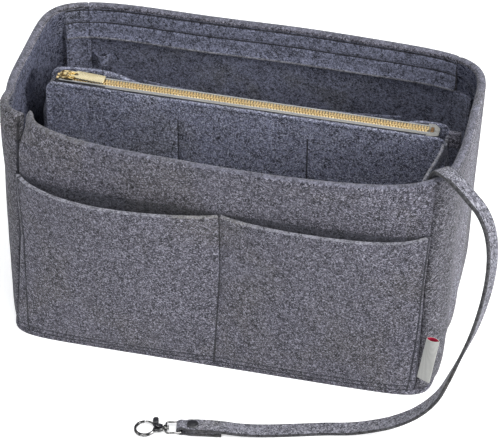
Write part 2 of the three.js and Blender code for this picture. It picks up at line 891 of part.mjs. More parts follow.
function makeGrip(pouch) {
  const box = (thickness) => new THREE.BoxGeometry(gripLength, gripWidth, thickness);
  const loop = place('base_loop_strip', box(gripThickness), gripBlack);
  loop.position.set(pouchCentreX, pouchCentreY, liningTop + gripThickness / 2);
  const hook = place('pouch_hook_strip', box(gripThickness), gripBlack, pouch);
  hook.position.set(pouchCentreX, pouchCentreY, pouchBottom - gripThickness / 2);
}

// Tapes from the panels to the chain
function makeZipTapes(pouch) {
  const left = pouchLeft + tapeEndMargin;
  const right = pouchRight - tapeEndMargin;
  const reach = pouchThickness / 2 - pouchFelt - chainHalfWidth - fitGap;
  const geometry = new THREE.BoxGeometry(right - left, reach, tapeThickness);
  const away = chainHalfWidth + fitGap / 2 + reach / 2;
  for (const [name, side] of [['zip_tape_front', -1], ['zip_tape_back', 1]]) {
    const tape = place(name, geometry, tapeGrey, pouch);
    tape.position.set((left + right) / 2, pouchCentreY + side * away, chainMiddle);
  }
}

// One side of the chain: a comb whose teeth reach past the middle between the other side's teeth
function makeZipTeeth(pouch) {
  const count = Math.floor(chainLength / toothPitch) - 1;
  for (const [name, side] of [['zip_teeth_front', -1], ['zip_teeth_back', 1]]) {
    const shift = side < 0 ? 0 : toothPitch / 2;
    const outerEdge = side * chainHalfWidth;
    const innerEdge = side * (chainHalfWidth - toothSpine);
    const tip = -side * toothReach;
    const comb = new THREE.Shape();
    comb.moveTo(0, outerEdge);
    comb.lineTo(0, innerEdge);
    for (let i = 0; i < count; i += 1) {
      const centre = toothPitch * (i + 0.75) + shift;
      comb.lineTo(centre - toothRoot / 2, innerEdge);
      comb.lineTo(centre - toothTip / 2, tip);
      comb.lineTo(centre + toothTip / 2, tip);
      comb.lineTo(centre + toothRoot / 2, innerEdge);
    }
    comb.lineTo(chainLength, innerEdge);
    comb.lineTo(chainLength, outerEdge);
    const geometry = new THREE.ExtrudeGeometry(comb, {
      depth: chainThickness, bevelEnabled: false,
    });
    const teeth = place(name, geometry, brassTeeth, pouch);
    teeth.position.set(chainLeft, pouchCentreY, chainBottom);
  }
}

function makeZipStops(pouch) {
  const end = place(
    'zip_end_stop',
    new THREE.BoxGeometry(stopLength, endStopWidth, chainThickness),
    stopBrown,
    pouch,
  );
  end.position.set(chainRight + fitGap + stopLength / 2, pouchCentreY, chainMiddle);
  const away = chainHalfWidth - stopWidth / 2;
  for (const [name, side] of [['zip_top_stop_front', -1], ['zip_top_stop_back', 1]]) {
    const stop = place(
      name, new THREE.BoxGeometry(stopLength, stopWidth, chainThickness), brassTeeth, pouch,
    );
    stop.position.set(
      chainLeft - fitGap - stopLength / 2, pouchCentreY + side * away, chainMiddle,
    );
  }
}

// Plan of a slider plate: square towards the closed chain, narrowing to the nose
function sliderPlan() {
  const half = sliderWidth / 2;
  const plan = new THREE.Shape();
  plan.moveTo(sliderLength, -half + sliderFlange);
  plan.lineTo(sliderLength, half - sliderFlange);
  plan.lineTo(sliderLength - sliderFlange, half);
  plan.lineTo(sliderNose, half);
  plan.quadraticCurveTo(0, half, 0, half - sliderNose);
  plan.lineTo(0, -half + sliderNose);
  plan.quadraticCurveTo(0, -half, sliderNose, -half);
  plan.lineTo(sliderLength - sliderFlange, -half);
  return plan;
}

// A plate with a flange along both long sides; rise is +1 for flanges that stand up
function sliderShell(bottom, rise) {
  const plate = new THREE.ExtrudeGeometry(sliderPlan(), {
    depth: sliderPlate, bevelEnabled: false, curveSegments: 5,
  });
  plate.translate(0, 0, bottom);
  let solid = toSolid(plate);
  const length = sliderLength - sliderNose - sliderFlange;
  const tall = sliderFlangeDrop + sliderPlate / 2;
  const middle = rise > 0
    ? bottom + sliderPlate + sliderFlangeDrop - tall / 2
    : bottom - sliderFlangeDrop + tall / 2;
  for (const side of [-1, 1]) {
    const flange = new THREE.BoxGeometry(length, sliderFlange, tall);
    const away = (sliderWidth - sliderFlange) / 2;
    flange.translate(sliderNose + length / 2, side * away, middle);
    solid = solid.add(toSolid(flange));
  }
  return solid;
}

const sliderLeft = chainLeft - fitGap;
const plateBottom = chainTop + fitGap;
const plateTop = plateBottom + sliderPlate;
const crownMiddle = sliderLength / 2;
const pullPivotX = sliderLeft + crownMiddle + pullBarOffset;
const pullPivotZ = plateTop + pullBarLift;

function makeSlider(pouch) {
  const slider = new THREE.Group();
  slider.position.set(sliderLeft, pouchCentreY, 0);
  pouch.add(slider);
  const half = crownLength / 2;
  const top = plateTop + crownOpening;
  const crown = new THREE.Shape();
  crown.moveTo(-half, plateTop - sliderPlate / 2);
  crown.lineTo(-half + crownLeg, plateTop - sliderPlate / 2);
  crown.lineTo(-half + crownLeg, top);
  crown.lineTo(half - crownLeg, top);
  crown.lineTo(half - crownLeg, plateTop - sliderPlate / 2);
  crown.lineTo(half, plateTop - sliderPlate / 2);
  crown.lineTo(half, top);
  crown.quadraticCurveTo(half, top + crownBar, half - crownLeg, top + crownBar);
  crown.lineTo(-half + crownLeg, top + crownBar);
  crown.quadraticCurveTo(-half, top + crownBar, -half, top);
  const arch = extrudeAlongY(crown, -crownWidth / 2, crownWidth, 4);
  arch.translate(crownMiddle, 0, 0);
  const body = sliderShell(plateBottom, -1).add(toSolid(arch));
  place('slider_top_plate', toGeometry(body), paleGold, slider);
  const under = sliderShell(chainBottom - fitGap - sliderPlate, 1);
  place('slider_bottom_plate', toGeometry(under), paleGold, slider);
}

function makePull(pouch) {
  const half = pullWidth / 2;
  const neck = pullNeck / 2;
  const start = -pullEndBar / 2;
  const end = start + pullLength;
  const radius = pullCornerRadius;
  const plan = new THREE.Shape();
  plan.moveTo(start, -neck);
  plan.lineTo(start + pullNeckLength, -neck);
  plan.quadraticCurveTo(start + pullNeckLength + radius, -half, start + pullNeckLength + 2 * radius, -half);
  plan.lineTo(end - radius, -half);
  plan.absarc(end - radius, -half + radius, radius, -Math.PI / 2, 0, false);
  plan.lineTo(end, half - radius);
  plan.absarc(end - radius, half - radius, radius, 0, Math.PI / 2, false);
  plan.lineTo(start + pullNeckLength + 2 * radius, half);
  plan.quadraticCurveTo(start + pullNeckLength + radius, half, start + pullNeckLength, neck);
  plan.lineTo(start, neck);
  const slot = new THREE.Path();
  const slotStart = start + pullEndBar;
  slot.moveTo(slotStart, -pullSlotWidth / 2);
  slot.lineTo(slotStart, pullSlotWidth / 2);
  slot.lineTo(slotStart + pullSlotLength, pullSlotWidth / 2);
  slot.lineTo(slotStart + pullSlotLength, -pullSlotWidth / 2);
  plan.holes.push(slot);
  const geometry = new THREE.ExtrudeGeometry(plan, {
    depth: pullThickness, bevelEnabled: false, curveSegments: 4,
  });
  geometry.translate(0, 0, -pullThickness / 2);
  const pull = place('pull_tab', geometry, paleGold, pouch);
  pull.rotation.y = pullTiltDegrees * degrees;
  pull.position.set(pullPivotX, pouchCentreY, pullPivotZ);
}

// Unit vector from a heading and a lean above the horizon, both in degrees
function direction(heading, lean) {
  const flat = Math.cos(lean * degrees);
  return new THREE.Vector3(
    Math.cos(heading * degrees) * flat,
    Math.sin(heading * degrees) * flat,
    Math.sin(lean * degrees),
  );
}

// Flat strap along a centre line: an eight-sided section whose width keeps to the given direction
function flatStrap(centres, widths, halfWidths) {
  const halfFelt = strapFelt / 2;
  const rings = [];
  let outline = [];
  centres.forEach((centre, i) => {
    const before = centres[Math.max(0, i - 1)];
    const after = centres[Math.min(centres.length - 1, i + 1)];
    const heading = after.clone().sub(before).normalize();
    const across = widths[i].clone().addScaledVector(heading, -widths[i].dot(heading)).normalize();
    const up = heading.clone().cross(across).normalize();
    const half = halfWidths[i];
    outline = [
      [half, -halfFelt + strapEdge],
      [half, halfFelt - strapEdge],
      [half - strapEdge, halfFelt],
      [-half + strapEdge, halfFelt],
      [-half, halfFelt - strapEdge],
      [-half, -halfFelt + strapEdge],
      [-half + strapEdge, -halfFelt],
      [half - strapEdge, -halfFelt],
    ];
    rings.push(
      outline.map(([w, n]) =>
        centre.clone().addScaledVector(across, w).addScaledVector(up, n),
      ),
    );
  });
  return loftRings(rings, outline.map(([w, n]) => new THREE.Vector2(w, n)));
}

function makeStrap(pouch) {
  const points = strapRoute.map(([x, y, z]) => new THREE.Vector3(x, y, z));
  const curve = new THREE.CatmullRomCurve3(points, false, 'centripetal');
  const centres = [];
  const widths = [];
  const halfWidths = [];
  const spans = strapRoute.length - 1;
  for (let i = 0; i <= strapSteps; i += 1) {
    const share = i / strapSteps;
    const spot = Math.min(spans - 1, Math.floor(share * spans));
    const within = share * spans - spot;
    const [, , , headingA, leanA] = strapRoute[spot];
    const [, , , headingB, leanB] = strapRoute[spot + 1];
    centres.push(curve.getPoint(share));
    widths.push(direction(lerp(headingA, headingB, within), lerp(leanA, leanB, within)));
    halfWidths.push(strapWidth / 2);
  }
  place('lanyard_strap', flatStrap(centres, widths, halfWidths), feltGrey, pouch);
}

// Group whose +X points from the strap to the clasp, at the start of the folded end
function lanyardEndGroup(pouch) {
  const group = new THREE.Group();
  group.position.set(loopStart[0], loopStart[1], 0);
  group.rotation.z = strapEndDegrees * degrees;
  pouch.add(group);
  return group;
}

function makeLanyardEnd(end) {
  const tailEnd = foldBack - tailLength;
  const controls = [
    [0, loopStart[2]],
    [foldTaper, lerp(loopStart[2], upperHeight, foldRiseShare)],
    [snapBack - snapCapRadius, upperHeight],
    [snapBack + snapCapRadius, upperHeight],
  ];
  const arcSteps = 5;
  for (let i = 0; i <= arcSteps; i += 1) {
    const angle = Math.PI / 2 - (Math.PI * i) / arcSteps;
    controls.push([
      foldBack + foldRadius * Math.cos(angle),
      foldHeight + foldRadius * Math.sin(angle),
    ]);
  }
  controls.push([snapBack + snapCapRadius, tailHeight]);
  controls.push([snapBack - snapCapRadius, tailHeight]);
  controls.push([tailEnd, tailEndHeight]);
  const points = controls.map(([along, height]) => new THREE.Vector3(along, 0, height));
  const curve = new THREE.CatmullRomCurve3(points, false, 'centripetal');
  const centres = curve.getSpacedPoints(loopSteps);
  const across = new THREE.Vector3(0, 1, 0);
  const halfWidths = centres.map((centre) => {
    const near = Math.min(1, Math.max(0, 1 - (foldBack - centre.x) / foldTaper));
    return lerp(strapWidth, foldWidth, near) / 2;
  });
  const strip = flatStrap(centres, centres.map(() => across), halfWidths);
  const drill = new THREE.CylinderGeometry(
    snapHoleRadius, snapHoleRadius, upperHeight + strapFelt + cutOverrun, 16,
  );
  drill.rotateX(Math.PI / 2);
  drill.translate(snapBack, 0, (upperHeight + strapFelt) / 2);
  place('lanyard_end_loop', toGeometry(toSolid(strip).subtract(toSolid(drill))), feltGrey, end);
}

// Body of revolution round the snap's upright axis from radius and height pairs
function turned(profile, segments = 20) {
  const points = profile.map(([radius, height]) => new THREE.Vector2(radius, height));
  const geometry = new THREE.LatheGeometry(points, segments);
  geometry.rotateX(Math.PI / 2);
  return toGeometry(toSolid(geometry));
}

function makeSnap(end) {
  const tailBottom = tailHeight - strapFelt / 2;
  const tailTop = tailHeight + strapFelt / 2;
  const upperBottom = upperHeight - strapFelt / 2;
  const upperTop = upperHeight + strapFelt / 2;
  const capFoot = upperTop + fitGap;
  const post = turned([
    [0, tailBottom - snapGap - snapPostThickness],
    [snapCapRadius, tailBottom - snapGap - snapPostThickness],
    [snapCapRadius, tailBottom - snapGap],
    [snapStemRadius, tailBottom - snapGap],
    [snapStemRadius, tailTop + snapDiscThickness],
    [0, tailTop + snapDiscThickness],
  ]);
  const studBottom = tailTop + snapGap;
  const stud = turned([
    [snapHoleRadius, studBottom],
    [snapDiscRadius, studBottom],
    [snapDiscRadius, studBottom + snapDiscThickness],
    [snapHoleRadius, studBottom + snapDiscThickness],
    [snapHoleRadius, studBottom],
  ]);
  const socketTop = upperBottom - snapGap;
  const socket = turned([
    [snapBoreRadius, socketTop - snapDiscThickness],
    [snapDiscRadius, socketTop - snapDiscThickness],
    [snapDiscRadius, socketTop],
    [snapBoreRadius, socketTop],
    [snapBoreRadius, socketTop - snapDiscThickness],
  ]);
  const cap = turned([
    [0, socketTop],
    [snapStemRadius, socketTop],
    [snapStemRadius, capFoot],
    [snapCapRadius, capFoot],
    [snapCapRadius, capFoot + snapRimRise],
    [snapCapRadius * 0.75, capFoot + snapCapRise * 0.8],
    [snapCapRadius * 0.35, capFoot + snapCapRise],
    [0, capFoot + snapCapRise],
  ]);
  const pieces = [
    ['snap_post', post],
    ['snap_stud', stud],
    ['snap_socket', socket],
    ['snap_cap', cap],
  ];
  for (const [name, geometry] of pieces) {
    place(name, geometry, gunmetal, end).position.set(snapBack, 0, 0);
  }
}

// Group at the eye's bar, +X towards the claw, dipped so that the claw rests on the surface
function claspGroup(end) {
  const clasp = new THREE.Group();
  clasp.position.set(foldBack, 0, foldHeight);
  const dip = Math.asin((foldHeight - clawThickness / 2 - floorGap) / claspLength);
  clasp.rotation.set(Math.PI, -dip, 0);
  end.add(clasp);
  return clasp;
}

// Cylinder along +X
function rodAlongX(radius, from, to, segments = 16) {
  const rod = new THREE.CylinderGeometry(radius, radius, to - from, segments);
  rod.rotateZ(Math.PI / 2);
  rod.translate((from + to) / 2, 0, 0);
  return toSolid(rod);
}

function roundedRectangle(path, left, right, half, radius) {
  path.moveTo(left + radius, -half);
  path.lineTo(right - radius, -half);
  path.absarc(right - radius, -half + radius, radius, -Math.PI / 2, 0, false);
  path.lineTo(right, half - radius);
  path.absarc(right - radius, half - radius, radius, 0, Math.PI / 2, false);
  path.lineTo(left + radius, half);
  path.absarc(left + radius, half - radius, radius, Math.PI / 2, Math.PI, false);
  path.lineTo(left, -half + radius);
  path.absarc(left + radius, -half + radius, radius, Math.PI, Math.PI * 1.5, false);
  return path;
}

function centredExtrusion(shape, thickness, curveSegments = 6) {
  const geometry = new THREE.ExtrudeGeometry(shape, {
    depth: thickness, bevelEnabled: false, curveSegments,
  });
  geometry.translate(0, 0, -thickness / 2);
  return toSolid(geometry);
}

function makeClaspEye(clasp) {
  const half = eyeInnerWidth / 2;
  const inner = roundedRectangle(
    new THREE.Path(), wire / 2, wire / 2 + eyeLength, half, eyeCorner,
  );
  const frame = roundedRectangle(
    new THREE.Shape(), -wire / 2, wire * 1.5 + eyeLength, half + wire, eyeCorner + wire,
  );
  frame.holes.push(inner);
  const collarFrom = wire / 2 + eyeLength;
  const collarTo = collarFrom + collarLength;
  const bore = rodAlongX(stemRadius + fitGap, collarFrom - cutOverrun, collarTo + cutOverrun);
  const solid = centredExtrusion(frame, wire, 4)
    .add(rodAlongX(collarRadius, collarFrom, collarTo))
    .subtract(bore);
  place('clasp_eye', toGeometry(solid), chrome, clasp);
}

// Annular sector in the clasp's plane, counted from +X
function sector(centre, outer, inner, fromDegrees, toDegrees) {
  const shape = new THREE.Shape();
  shape.absarc(centre, 0, outer, fromDegrees * degrees, toDegrees * degrees, false);
  shape.absarc(centre, 0, inner, toDegrees * degrees, fromDegrees * degrees, true);
  return shape;
}

const ringCentre = claspLength - clawRingRadius;

// Upright disc about the trigger's pin, kept to the side of the ring where the gate closes
function gateDisc(radius) {
  const disc = new THREE.Shape();
  disc.absarc(pinDistance, pinOffset, radius, 0, Math.PI, false);
  return centredExtrusion(disc, clawThickness + cutOverrun, 24);
}

function makeClaw(clasp) {
  const inner = clawRingRadius - clawBand;
  const ring = centredExtrusion(
    sector(ringCentre, clawRingRadius, inner, clawRootDegrees, clawTipDegrees), clawThickness, 18,
  ).subtract(gateDisc(gateCutRadius + fitGap / 2));
  const rootX = ringCentre + clawRingRadius * Math.cos(clawRootDegrees * degrees);
  const rootY = clawRingRadius * Math.sin(clawRootDegrees * degrees);
  const innerX = ringCentre + inner * Math.cos(clawRootDegrees * degrees);
  const body = new THREE.Shape();
  body.moveTo(clawBodyStart, -clawBodyHalfWidth * 0.7);
  body.lineTo(pinDistance, -clawBodyHalfWidth);
  body.lineTo(rootX + clawBand * 0.6, rootY - clawBand * 0.5);
  body.lineTo(innerX + clawBand * 0.2, rootY + clawBand * 0.4);
  body.quadraticCurveTo(
    ringCentre - inner - clawBand * 0.2, 0, ringCentre - inner - clawBand * 0.1, pinOffset,
  );
  body.lineTo(pinDistance + pinHeadRadius, pinOffset + clawBodyHalfWidth * 0.9);
  body.lineTo(clawBodyStart, clawBodyHalfWidth * 0.7);
  const slot = new THREE.Shape();
  slot.absarc(
    pinDistance, pinOffset, leverSlotRadius,
    -Math.asin(leverSlotFloor / leverSlotRadius), Math.PI + Math.asin(leverSlotFloor / leverSlotRadius),
    false,
  );
  const slotThickness = leverThickness + 2 * fitGap;
  const pinHole = new THREE.CylinderGeometry(
    pinRadius + fitGap, pinRadius + fitGap, clawThickness + cutOverrun, 14,
  );
  pinHole.rotateX(Math.PI / 2);
  pinHole.translate(pinDistance, pinOffset, 0);
  const collarTo = wire / 2 + eyeLength + collarLength;
  const collarFrom = wire / 2 + eyeLength;
  const headTo = collarFrom - fitGap;
  const stem = rodAlongX(stemRadius, headTo - stemHeadLength / 2, clawBodyStart + stemShoulder);
  const head = rodAlongX(stemHeadRadius, headTo - stemHeadLength, headTo);
  const shoulder = rodAlongX(clawThickness / 2, collarTo + fitGap, clawBodyStart + stemShoulder);
  const solid = ring
    .add(centredExtrusion(body, clawThickness, 5))
    .subtract(centredExtrusion(slot, slotThickness, 16))
    .subtract(toSolid(pinHole))
    .add(stem)
    .add(head)
    .add(shoulder);
  place('clasp_claw', toGeometry(solid), chrome, clasp);
}

function makeTrigger(clasp) {
  const middle = clawRingRadius - clawBand / 2;
  const arm = sector(
    ringCentre, middle + clawBand * 0.35, middle - clawBand * 0.4, gateFromDegrees, gateToDegrees,
  );
  const armEndX = ringCentre + middle * Math.cos(gateToDegrees * degrees);
  const armEndY = middle * Math.sin(gateToDegrees * degrees);
  const bridge = new THREE.Shape();
  bridge.moveTo(pinDistance - leverHubRadius * 0.4, pinOffset + leverHubRadius * 0.85);
  bridge.lineTo(pinDistance + leverHubRadius * 0.95, pinOffset - leverHubRadius * 0.2);
  bridge.lineTo(armEndX + clawBand * 0.5, armEndY - clawBand * 0.3);
  bridge.lineTo(armEndX + clawBand * 0.2, armEndY + clawBand * 0.5);
  bridge.lineTo(pinDistance, nubStart + pinOffset * 0.5);
  const hub = new THREE.Shape();
  hub.absarc(pinDistance, pinOffset, leverHubRadius, 0, 2 * Math.PI, false);
  const bore = new THREE.CylinderGeometry(
    pinRadius + fitGap, pinRadius + fitGap, clawThickness + cutOverrun, 14,
  );
  bore.rotateX(Math.PI / 2);
  bore.translate(pinDistance, pinOffset, 0);
  const nubLeft = pinDistance + nubShift - nubWidth / 2;
  const nub = new THREE.Shape();
  nub.moveTo(nubLeft, nubStart);
  nub.lineTo(nubLeft + nubWidth, nubStart);
  nub.lineTo(nubLeft + nubWidth, nubReach - nubWidth / 3);
  nub.quadraticCurveTo(nubLeft + nubWidth, nubReach, nubLeft + nubWidth * 0.6, nubReach);
  nub.lineTo(nubLeft + nubWidth * 0.4, nubReach);
  nub.quadraticCurveTo(nubLeft, nubReach, nubLeft, nubReach - nubWidth / 3);
  const solid = centredExtrusion(arm, leverThickness, 8)
    .intersect(gateDisc(gateCutRadius - fitGap / 2))
    .add(centredExtrusion(bridge, leverThickness))
    .add(centredExtrusion(hub, leverThickness, 10))
    .subtract(toSolid(bore))
    .add(centredExtrusion(nub, nubThickness));
  place('trigger_lever', toGeometry(solid), gunmetal, clasp);
  const face = clawThickness / 2 + snapGap;
  const pin = turned([
    [0, -face - pinHeadThickness],
    [pinHeadRadius, -face - pinHeadThickness],
    [pinHeadRadius, -face],
    [pinRadius, -face],
    [pinRadius, face],
    [pinHeadRadius, face],
    [pinHeadRadius, face + pinHeadThickness],
    [0, face + pinHeadThickness],
  ], 16);
  place('trigger_pin', pin, chrome, clasp).position.set(pinDistance, pinOffset, 0);
  // The small coil that closes the trigger is hidden in the claw and drawn as its sleeve
  const spring = turned([
    [springBore, -springLength / 2],
    [springRadius, -springLength / 2],
    [springRadius, springLength / 2],
    [springBore, springLength / 2],
    [springBore, -springLength / 2],
  ], 12);
  place('trigger_spring', spring, chrome, clasp).position.set(
    pinDistance - springOffset, pinOffset, 0,
  );
}

makeBase();
makeWalls();
makeOutsidePockets();
makeInnerPocket();
makePenLoop();
makeSeamStrips();
makeLabel();

const pouchGroup = new THREE.Group();
object.add(pouchGroup);
makePouchShell(pouchGroup);
makePouchTab(pouchGroup);
makeGrip(pouchGroup);
makeZipTapes(pouchGroup);
makeZipTeeth(pouchGroup);
makeZipStops(pouchGroup);
makeSlider(pouchGroup);
makePull(pouchGroup);

const lanyard = new THREE.Group();
lanyard.position.x = pouchRight - routePouchRight;
pouchGroup.add(lanyard);
makeStrap(lanyard);
const lanyardEnd = lanyardEndGroup(lanyard);
makeLanyardEnd(lanyardEnd);
makeSnap(lanyardEnd);
const clasp = claspGroup(lanyardEnd);
makeClaspEye(clasp);
makeClaw(clasp);
makeTrigger(clasp);

export default object;
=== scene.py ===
"""Felt organizer insert for a handbag: looks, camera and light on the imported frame.

Lengths are in millimetres, and become metres where a mesh or the camera is made. The lamps and
the heights in the felts' shading are in metres.
"""
import math

import bmesh
import bpy
import numpy as np
from mathutils import Matrix, Vector


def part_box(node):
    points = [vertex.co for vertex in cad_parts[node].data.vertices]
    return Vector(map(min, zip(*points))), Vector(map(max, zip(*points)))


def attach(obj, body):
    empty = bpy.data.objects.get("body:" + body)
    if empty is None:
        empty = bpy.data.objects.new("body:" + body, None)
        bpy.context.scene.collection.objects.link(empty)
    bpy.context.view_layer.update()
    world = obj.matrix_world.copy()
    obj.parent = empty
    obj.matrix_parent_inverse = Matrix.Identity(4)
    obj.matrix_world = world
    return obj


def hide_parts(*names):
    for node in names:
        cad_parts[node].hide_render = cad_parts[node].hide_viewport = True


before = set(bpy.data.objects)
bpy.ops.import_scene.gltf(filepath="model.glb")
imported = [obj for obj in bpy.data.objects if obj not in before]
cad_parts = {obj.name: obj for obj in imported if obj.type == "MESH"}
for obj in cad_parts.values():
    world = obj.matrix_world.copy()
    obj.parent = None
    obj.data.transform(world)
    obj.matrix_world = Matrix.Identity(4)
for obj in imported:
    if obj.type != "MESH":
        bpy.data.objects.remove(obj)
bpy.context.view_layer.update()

MM = 0.001
DEGREES = math.pi / 180

# Tub, as in the solids
FELT = 3.0
FIT_GAP = 0.3
INSERT_HEIGHT = 190.0
RIM_HALF_LENGTH = 167.0
BASE_HALF_LENGTH = RIM_HALF_LENGTH - 8.5
FOOT_TUCK = 2.0
FOOT_TUCK_HEIGHT = 22.0
RIM_FRONT_REACH = 91.5
BASE_FRONT_REACH = RIM_FRONT_REACH - 11.3
RIM_BACK_REACH = 85.8
BASE_BACK_REACH = RIM_BACK_REACH + 9.0
BASE_POWER = 12.0
RIM_FRONT_LEFT_POWER = 3.2
RIM_FRONT_RIGHT_POWER = 4.0
RIM_BACK_POWER = 6.0
SEAM_SHARES = {
    "front_left": (0.96, 0.893, 0.89),
    "front_right": (0.925, 0.91, 0.91),
    "back_right": (0.855, 0.855, 0.855),
    "back_left": (0.86, 0.838, 0.815),
}
CORNER_SWELL = 5.5
CORNER_SWELL_RUN = 36.0
CORNER_SWELL_START = 137.0
OUTLINE_STEPS = 1440

# Rim, hem and corner seams
HEM_DEPTH = 32.0
HEM_EDGE = INSERT_HEIGHT - HEM_DEPTH
HEM_THICKNESS = 2 * FELT + FIT_GAP
HEM_FLARE = 1.5
HEM_STITCH_DEPTHS = (4.5, 17.0)
SEAM_GROOVES = {"front_left": 2.4, "front_right": 1.0, "back_right": 0.8, "back_left": 0.5}
SEAM_REACH = 3.0
# Painted light: depth of the lit lip of the hem and of the lit rim top; widths of the painted shade
# beside each corner seam, how close to the seam it runs above the pockets, and its reach about the
# hem's stitch rows.
HEM_LIP = 3.0
RIM_TOP = 1.4
SEAM_CREASE = {"front_left": 2.2, "front_right": 0.0, "back_right": 0.8, "back_left": 0.8}
SEAM_CREASE_ABOVE = 1.3
ROW_REACH = 0.62
RIM_CURL = 6.0
RIM_CURL_REACH = 9.0
RIM_CURL_START = 163.0
STRIP_WIDTH = 21.0
STRIP_FELT = 2.0
STRIP_SHARES = {"front_left": 0.5, "front_right": 0.5, "back_right": 0.8, "back_left": 0.02}
LINING_TOP = 8.0
LINING_BOTTOM = 5.05

# Side label
LABEL_HEIGHT = 39.0
LABEL_REACH = 9.0
LABEL_TURN = -12.0
LABEL_LEAN = 5.6
LABEL_GAPE = 2.3
LABEL_LIFT = 4.4
LABEL_SLANT = 2.6
LABEL_HALF = 0.45
LABEL_CLOTH = 0.5

# Outside and inside pockets
POCKET_HEIGHT = INSERT_HEIGHT - 43.0
FRONT_POCKET_GAPES = (14.0, 14.0 * 0.607)
BACK_POCKET_GAPES = (14.0 * 0.8, 14.0 * 0.8)
POCKET_MIDDLE_SHARE = 0.503
POCKET_END_MARGIN = 2.5
POCKET_LINE = 5.0
POCKET_STILL = 17.0
POCKET_SWELL_POWER = 0.6
POCKET_STITCH_HEIGHTS = (5.2, 9.2)
# Widths of the painted shade along the pockets' sewn lines and middle seam, which the grid's
# columns follow.
CREASE_WIDTH = 1.2
MIDDLE_SEAM_WIDTH = 2.2
EDGE_LINES = ((8.4, 2.4, 110.0), (3.4, 0.9, 80.0))
INNER_POCKET_FELT = 2.0
INNER_POCKET_HEIGHT = INSERT_HEIGHT - 68.0
INNER_POCKET_GAPE = 7.0
INNER_POCKET_MARGIN = 40.0

# Pen loop
PEN_SHARE = -0.7635
PEN_BOTTOM = 133.0
PEN_HEIGHT = 8.5
PEN_HALF = 3.6
PEN_FOOT = 2.6
PEN_RISE = 3.6
PEN_CLOTH = 1.4

# Stitches
STITCH_PITCH = 3.3
STITCH_LENGTH = 2.35
THREAD_RADIUS = 0.34
THREAD_SIDES = 6
STITCH_SECTIONS = ((0, -0.45, 0.5), (0.18, 0.02, 1.0), (0.82, 0.02, 1.0), (1, -0.45, 0.5))

# Pouch
POUCH_FELT = 2.4
POUCH_LEFT = -143.5
POUCH_RIGHT = 146.5
POUCH_TOP = INSERT_HEIGHT - 15.0
POUCH_BOTTOM = 11.5
POUCH_Y = 7.4
POUCH_THICKNESS = 19.0
POUCH_FRONT = POUCH_Y - POUCH_THICKNESS / 2
POUCH_BACK = POUCH_Y + POUCH_THICKNESS / 2
POUCH_RADIUS = 12.0
POUCH_TOP_RADIUS = 7.0
POUCH_DIVIDERS = (-48.0, 47.0)
DIVIDER_DROP = 18.0
PANEL_DROP = 1.0
BACK_DIP = 5.0
LEFT_SPREAD = 2.6
BACK_HUMP = 3.6
BACK_HUMP_X = -112.0
SWELL_LIMIT = 0.8
POUCH_STITCH_DEPTH = 3.0
POUCH_STITCH_SIDE = 4.0
SLIP_POCKET_FELT = 1.1
TAB_FELT = 1.7

# Zip
CHAIN_MIDDLE = 173.6
CHAIN_LEFT = POUCH_LEFT + 6.0
CHAIN_RIGHT = POUCH_RIGHT - 13.0
CHAIN_HALF_WIDTH = 3.3
CHAIN_THICKNESS = 2.5
TOOTH_PITCH = 2.1
TAPE_INNER = 0.6
TAPE_TIP = 6.5
SLIDER_SHADE = -102.0
TAPE_CLOTH = 0.75
TOOTH_SECTIONS = (
    (CHAIN_HALF_WIDTH, 1.2, 1.9),
    (CHAIN_HALF_WIDTH - 0.25, 1.65, 2.4),
    (1.75, 1.7, 2.45),
    (1.25, 1.3, 2.3),
    (0.55, 0.98, 2.2),
    (-0.15, 0.94, 2.25),
    (-0.55, 0.76, 1.9),
    (-0.78, 0.4, 1.1),
)
TOOTH_SIDES = 10
PLATE = 1.3
PLATE_TOP = CHAIN_MIDDLE + CHAIN_THICKNESS / 2 + FIT_GAP + PLATE
SLIDER_LEFT = CHAIN_LEFT - FIT_GAP
SLIDER_LENGTH = 11.0
SLIDER_WIDTH = 8.8
CROWN_HALF = 4.0
CROWN_WIRE = 0.62
PULL_PIVOT = (-130.8, POUCH_Y, 177.5)
PULL_TILT = 3.5 * DEGREES

# Lanyard strap: route, then the heading and lean of its width in degrees
STRAP_WIDTH = 12.0
STRAP_FELT = 2.4
STRAP_STEPS = 260
# Rings of the strap inside the tub, which take the inside felt's tint and pale edges, and the
# hanging run, where the painted shade on the side faces is wider.
STRAP_INSIDE = 48
STRAP_HANGS = (84, 180)
STRAP_ROUTE = (
    (145.2, -2.85, 166.0, 37, 90),
    (144.6, -10.5, 165.2, 37, 90),
    (142.6, -20.5, 163.8, 37, 90),
    (139.6, -31.0, 161.6, 37, 90),
    (137.5, -41.0, 159.5, 37, 86),
    (139.5, -46.5, 160.5, 37, 72),
    (143.5, -50.5, 166.5, 37, 46),
    (146.5, -53.5, 175.6, 37, 20),
    (148.5, -56.5, 185.0, 37, 4),
    (151.5, -60.0, 193.2, 40, 0),
    (156.5, -65.5, 196.4, 48, 0),
    (162.5, -70.0, 195.6, 58, 0),
    (168.8, -74.0, 192.6, 65, 0),
    (176.0, -78.2, 188.0, 66, 0),
    (184.0, -82.2, 181.6, 66, 0),
    (190.4, -86.4, 172.2, 66, 0),
    (194.4, -90.8, 159.6, 66, 0),
    (195.8, -95.2, 145.0, 66, 0),
    (195.0, -99.4, 128.4, 67, 0),
    (192.4, -103.4, 111.0, 69, 0),
    (188.0, -107.2, 92.4, 73, 0),
    (181.6, -111.0, 73.4, 80, 0),
    (175.0, -114.6, 54.8, 88, 0),
    (167.4, -118.0, 37.6, 95, 0),
    (155.2, -121.0, 23.2, 99, 0),
    (139.3, -123.4, 12.4, 100, 0),
    (122.0, -125.4, 5.4, 100, 0),
    (107.0, -127.8, 2.2, 102, 0),
    (91.0, -131.0, 1.5, 105, 0),
    (74.0, -136.0, 1.5, 106, 0),
    (57.0, -140.9, 1.5, 104, 0),
    (44.0, -144.5, 1.9, 102, 0),
    (32.2, -147.5, 3.0, 101, 0),
    (23.4, -149.2, 4.2, 101, 0),
)

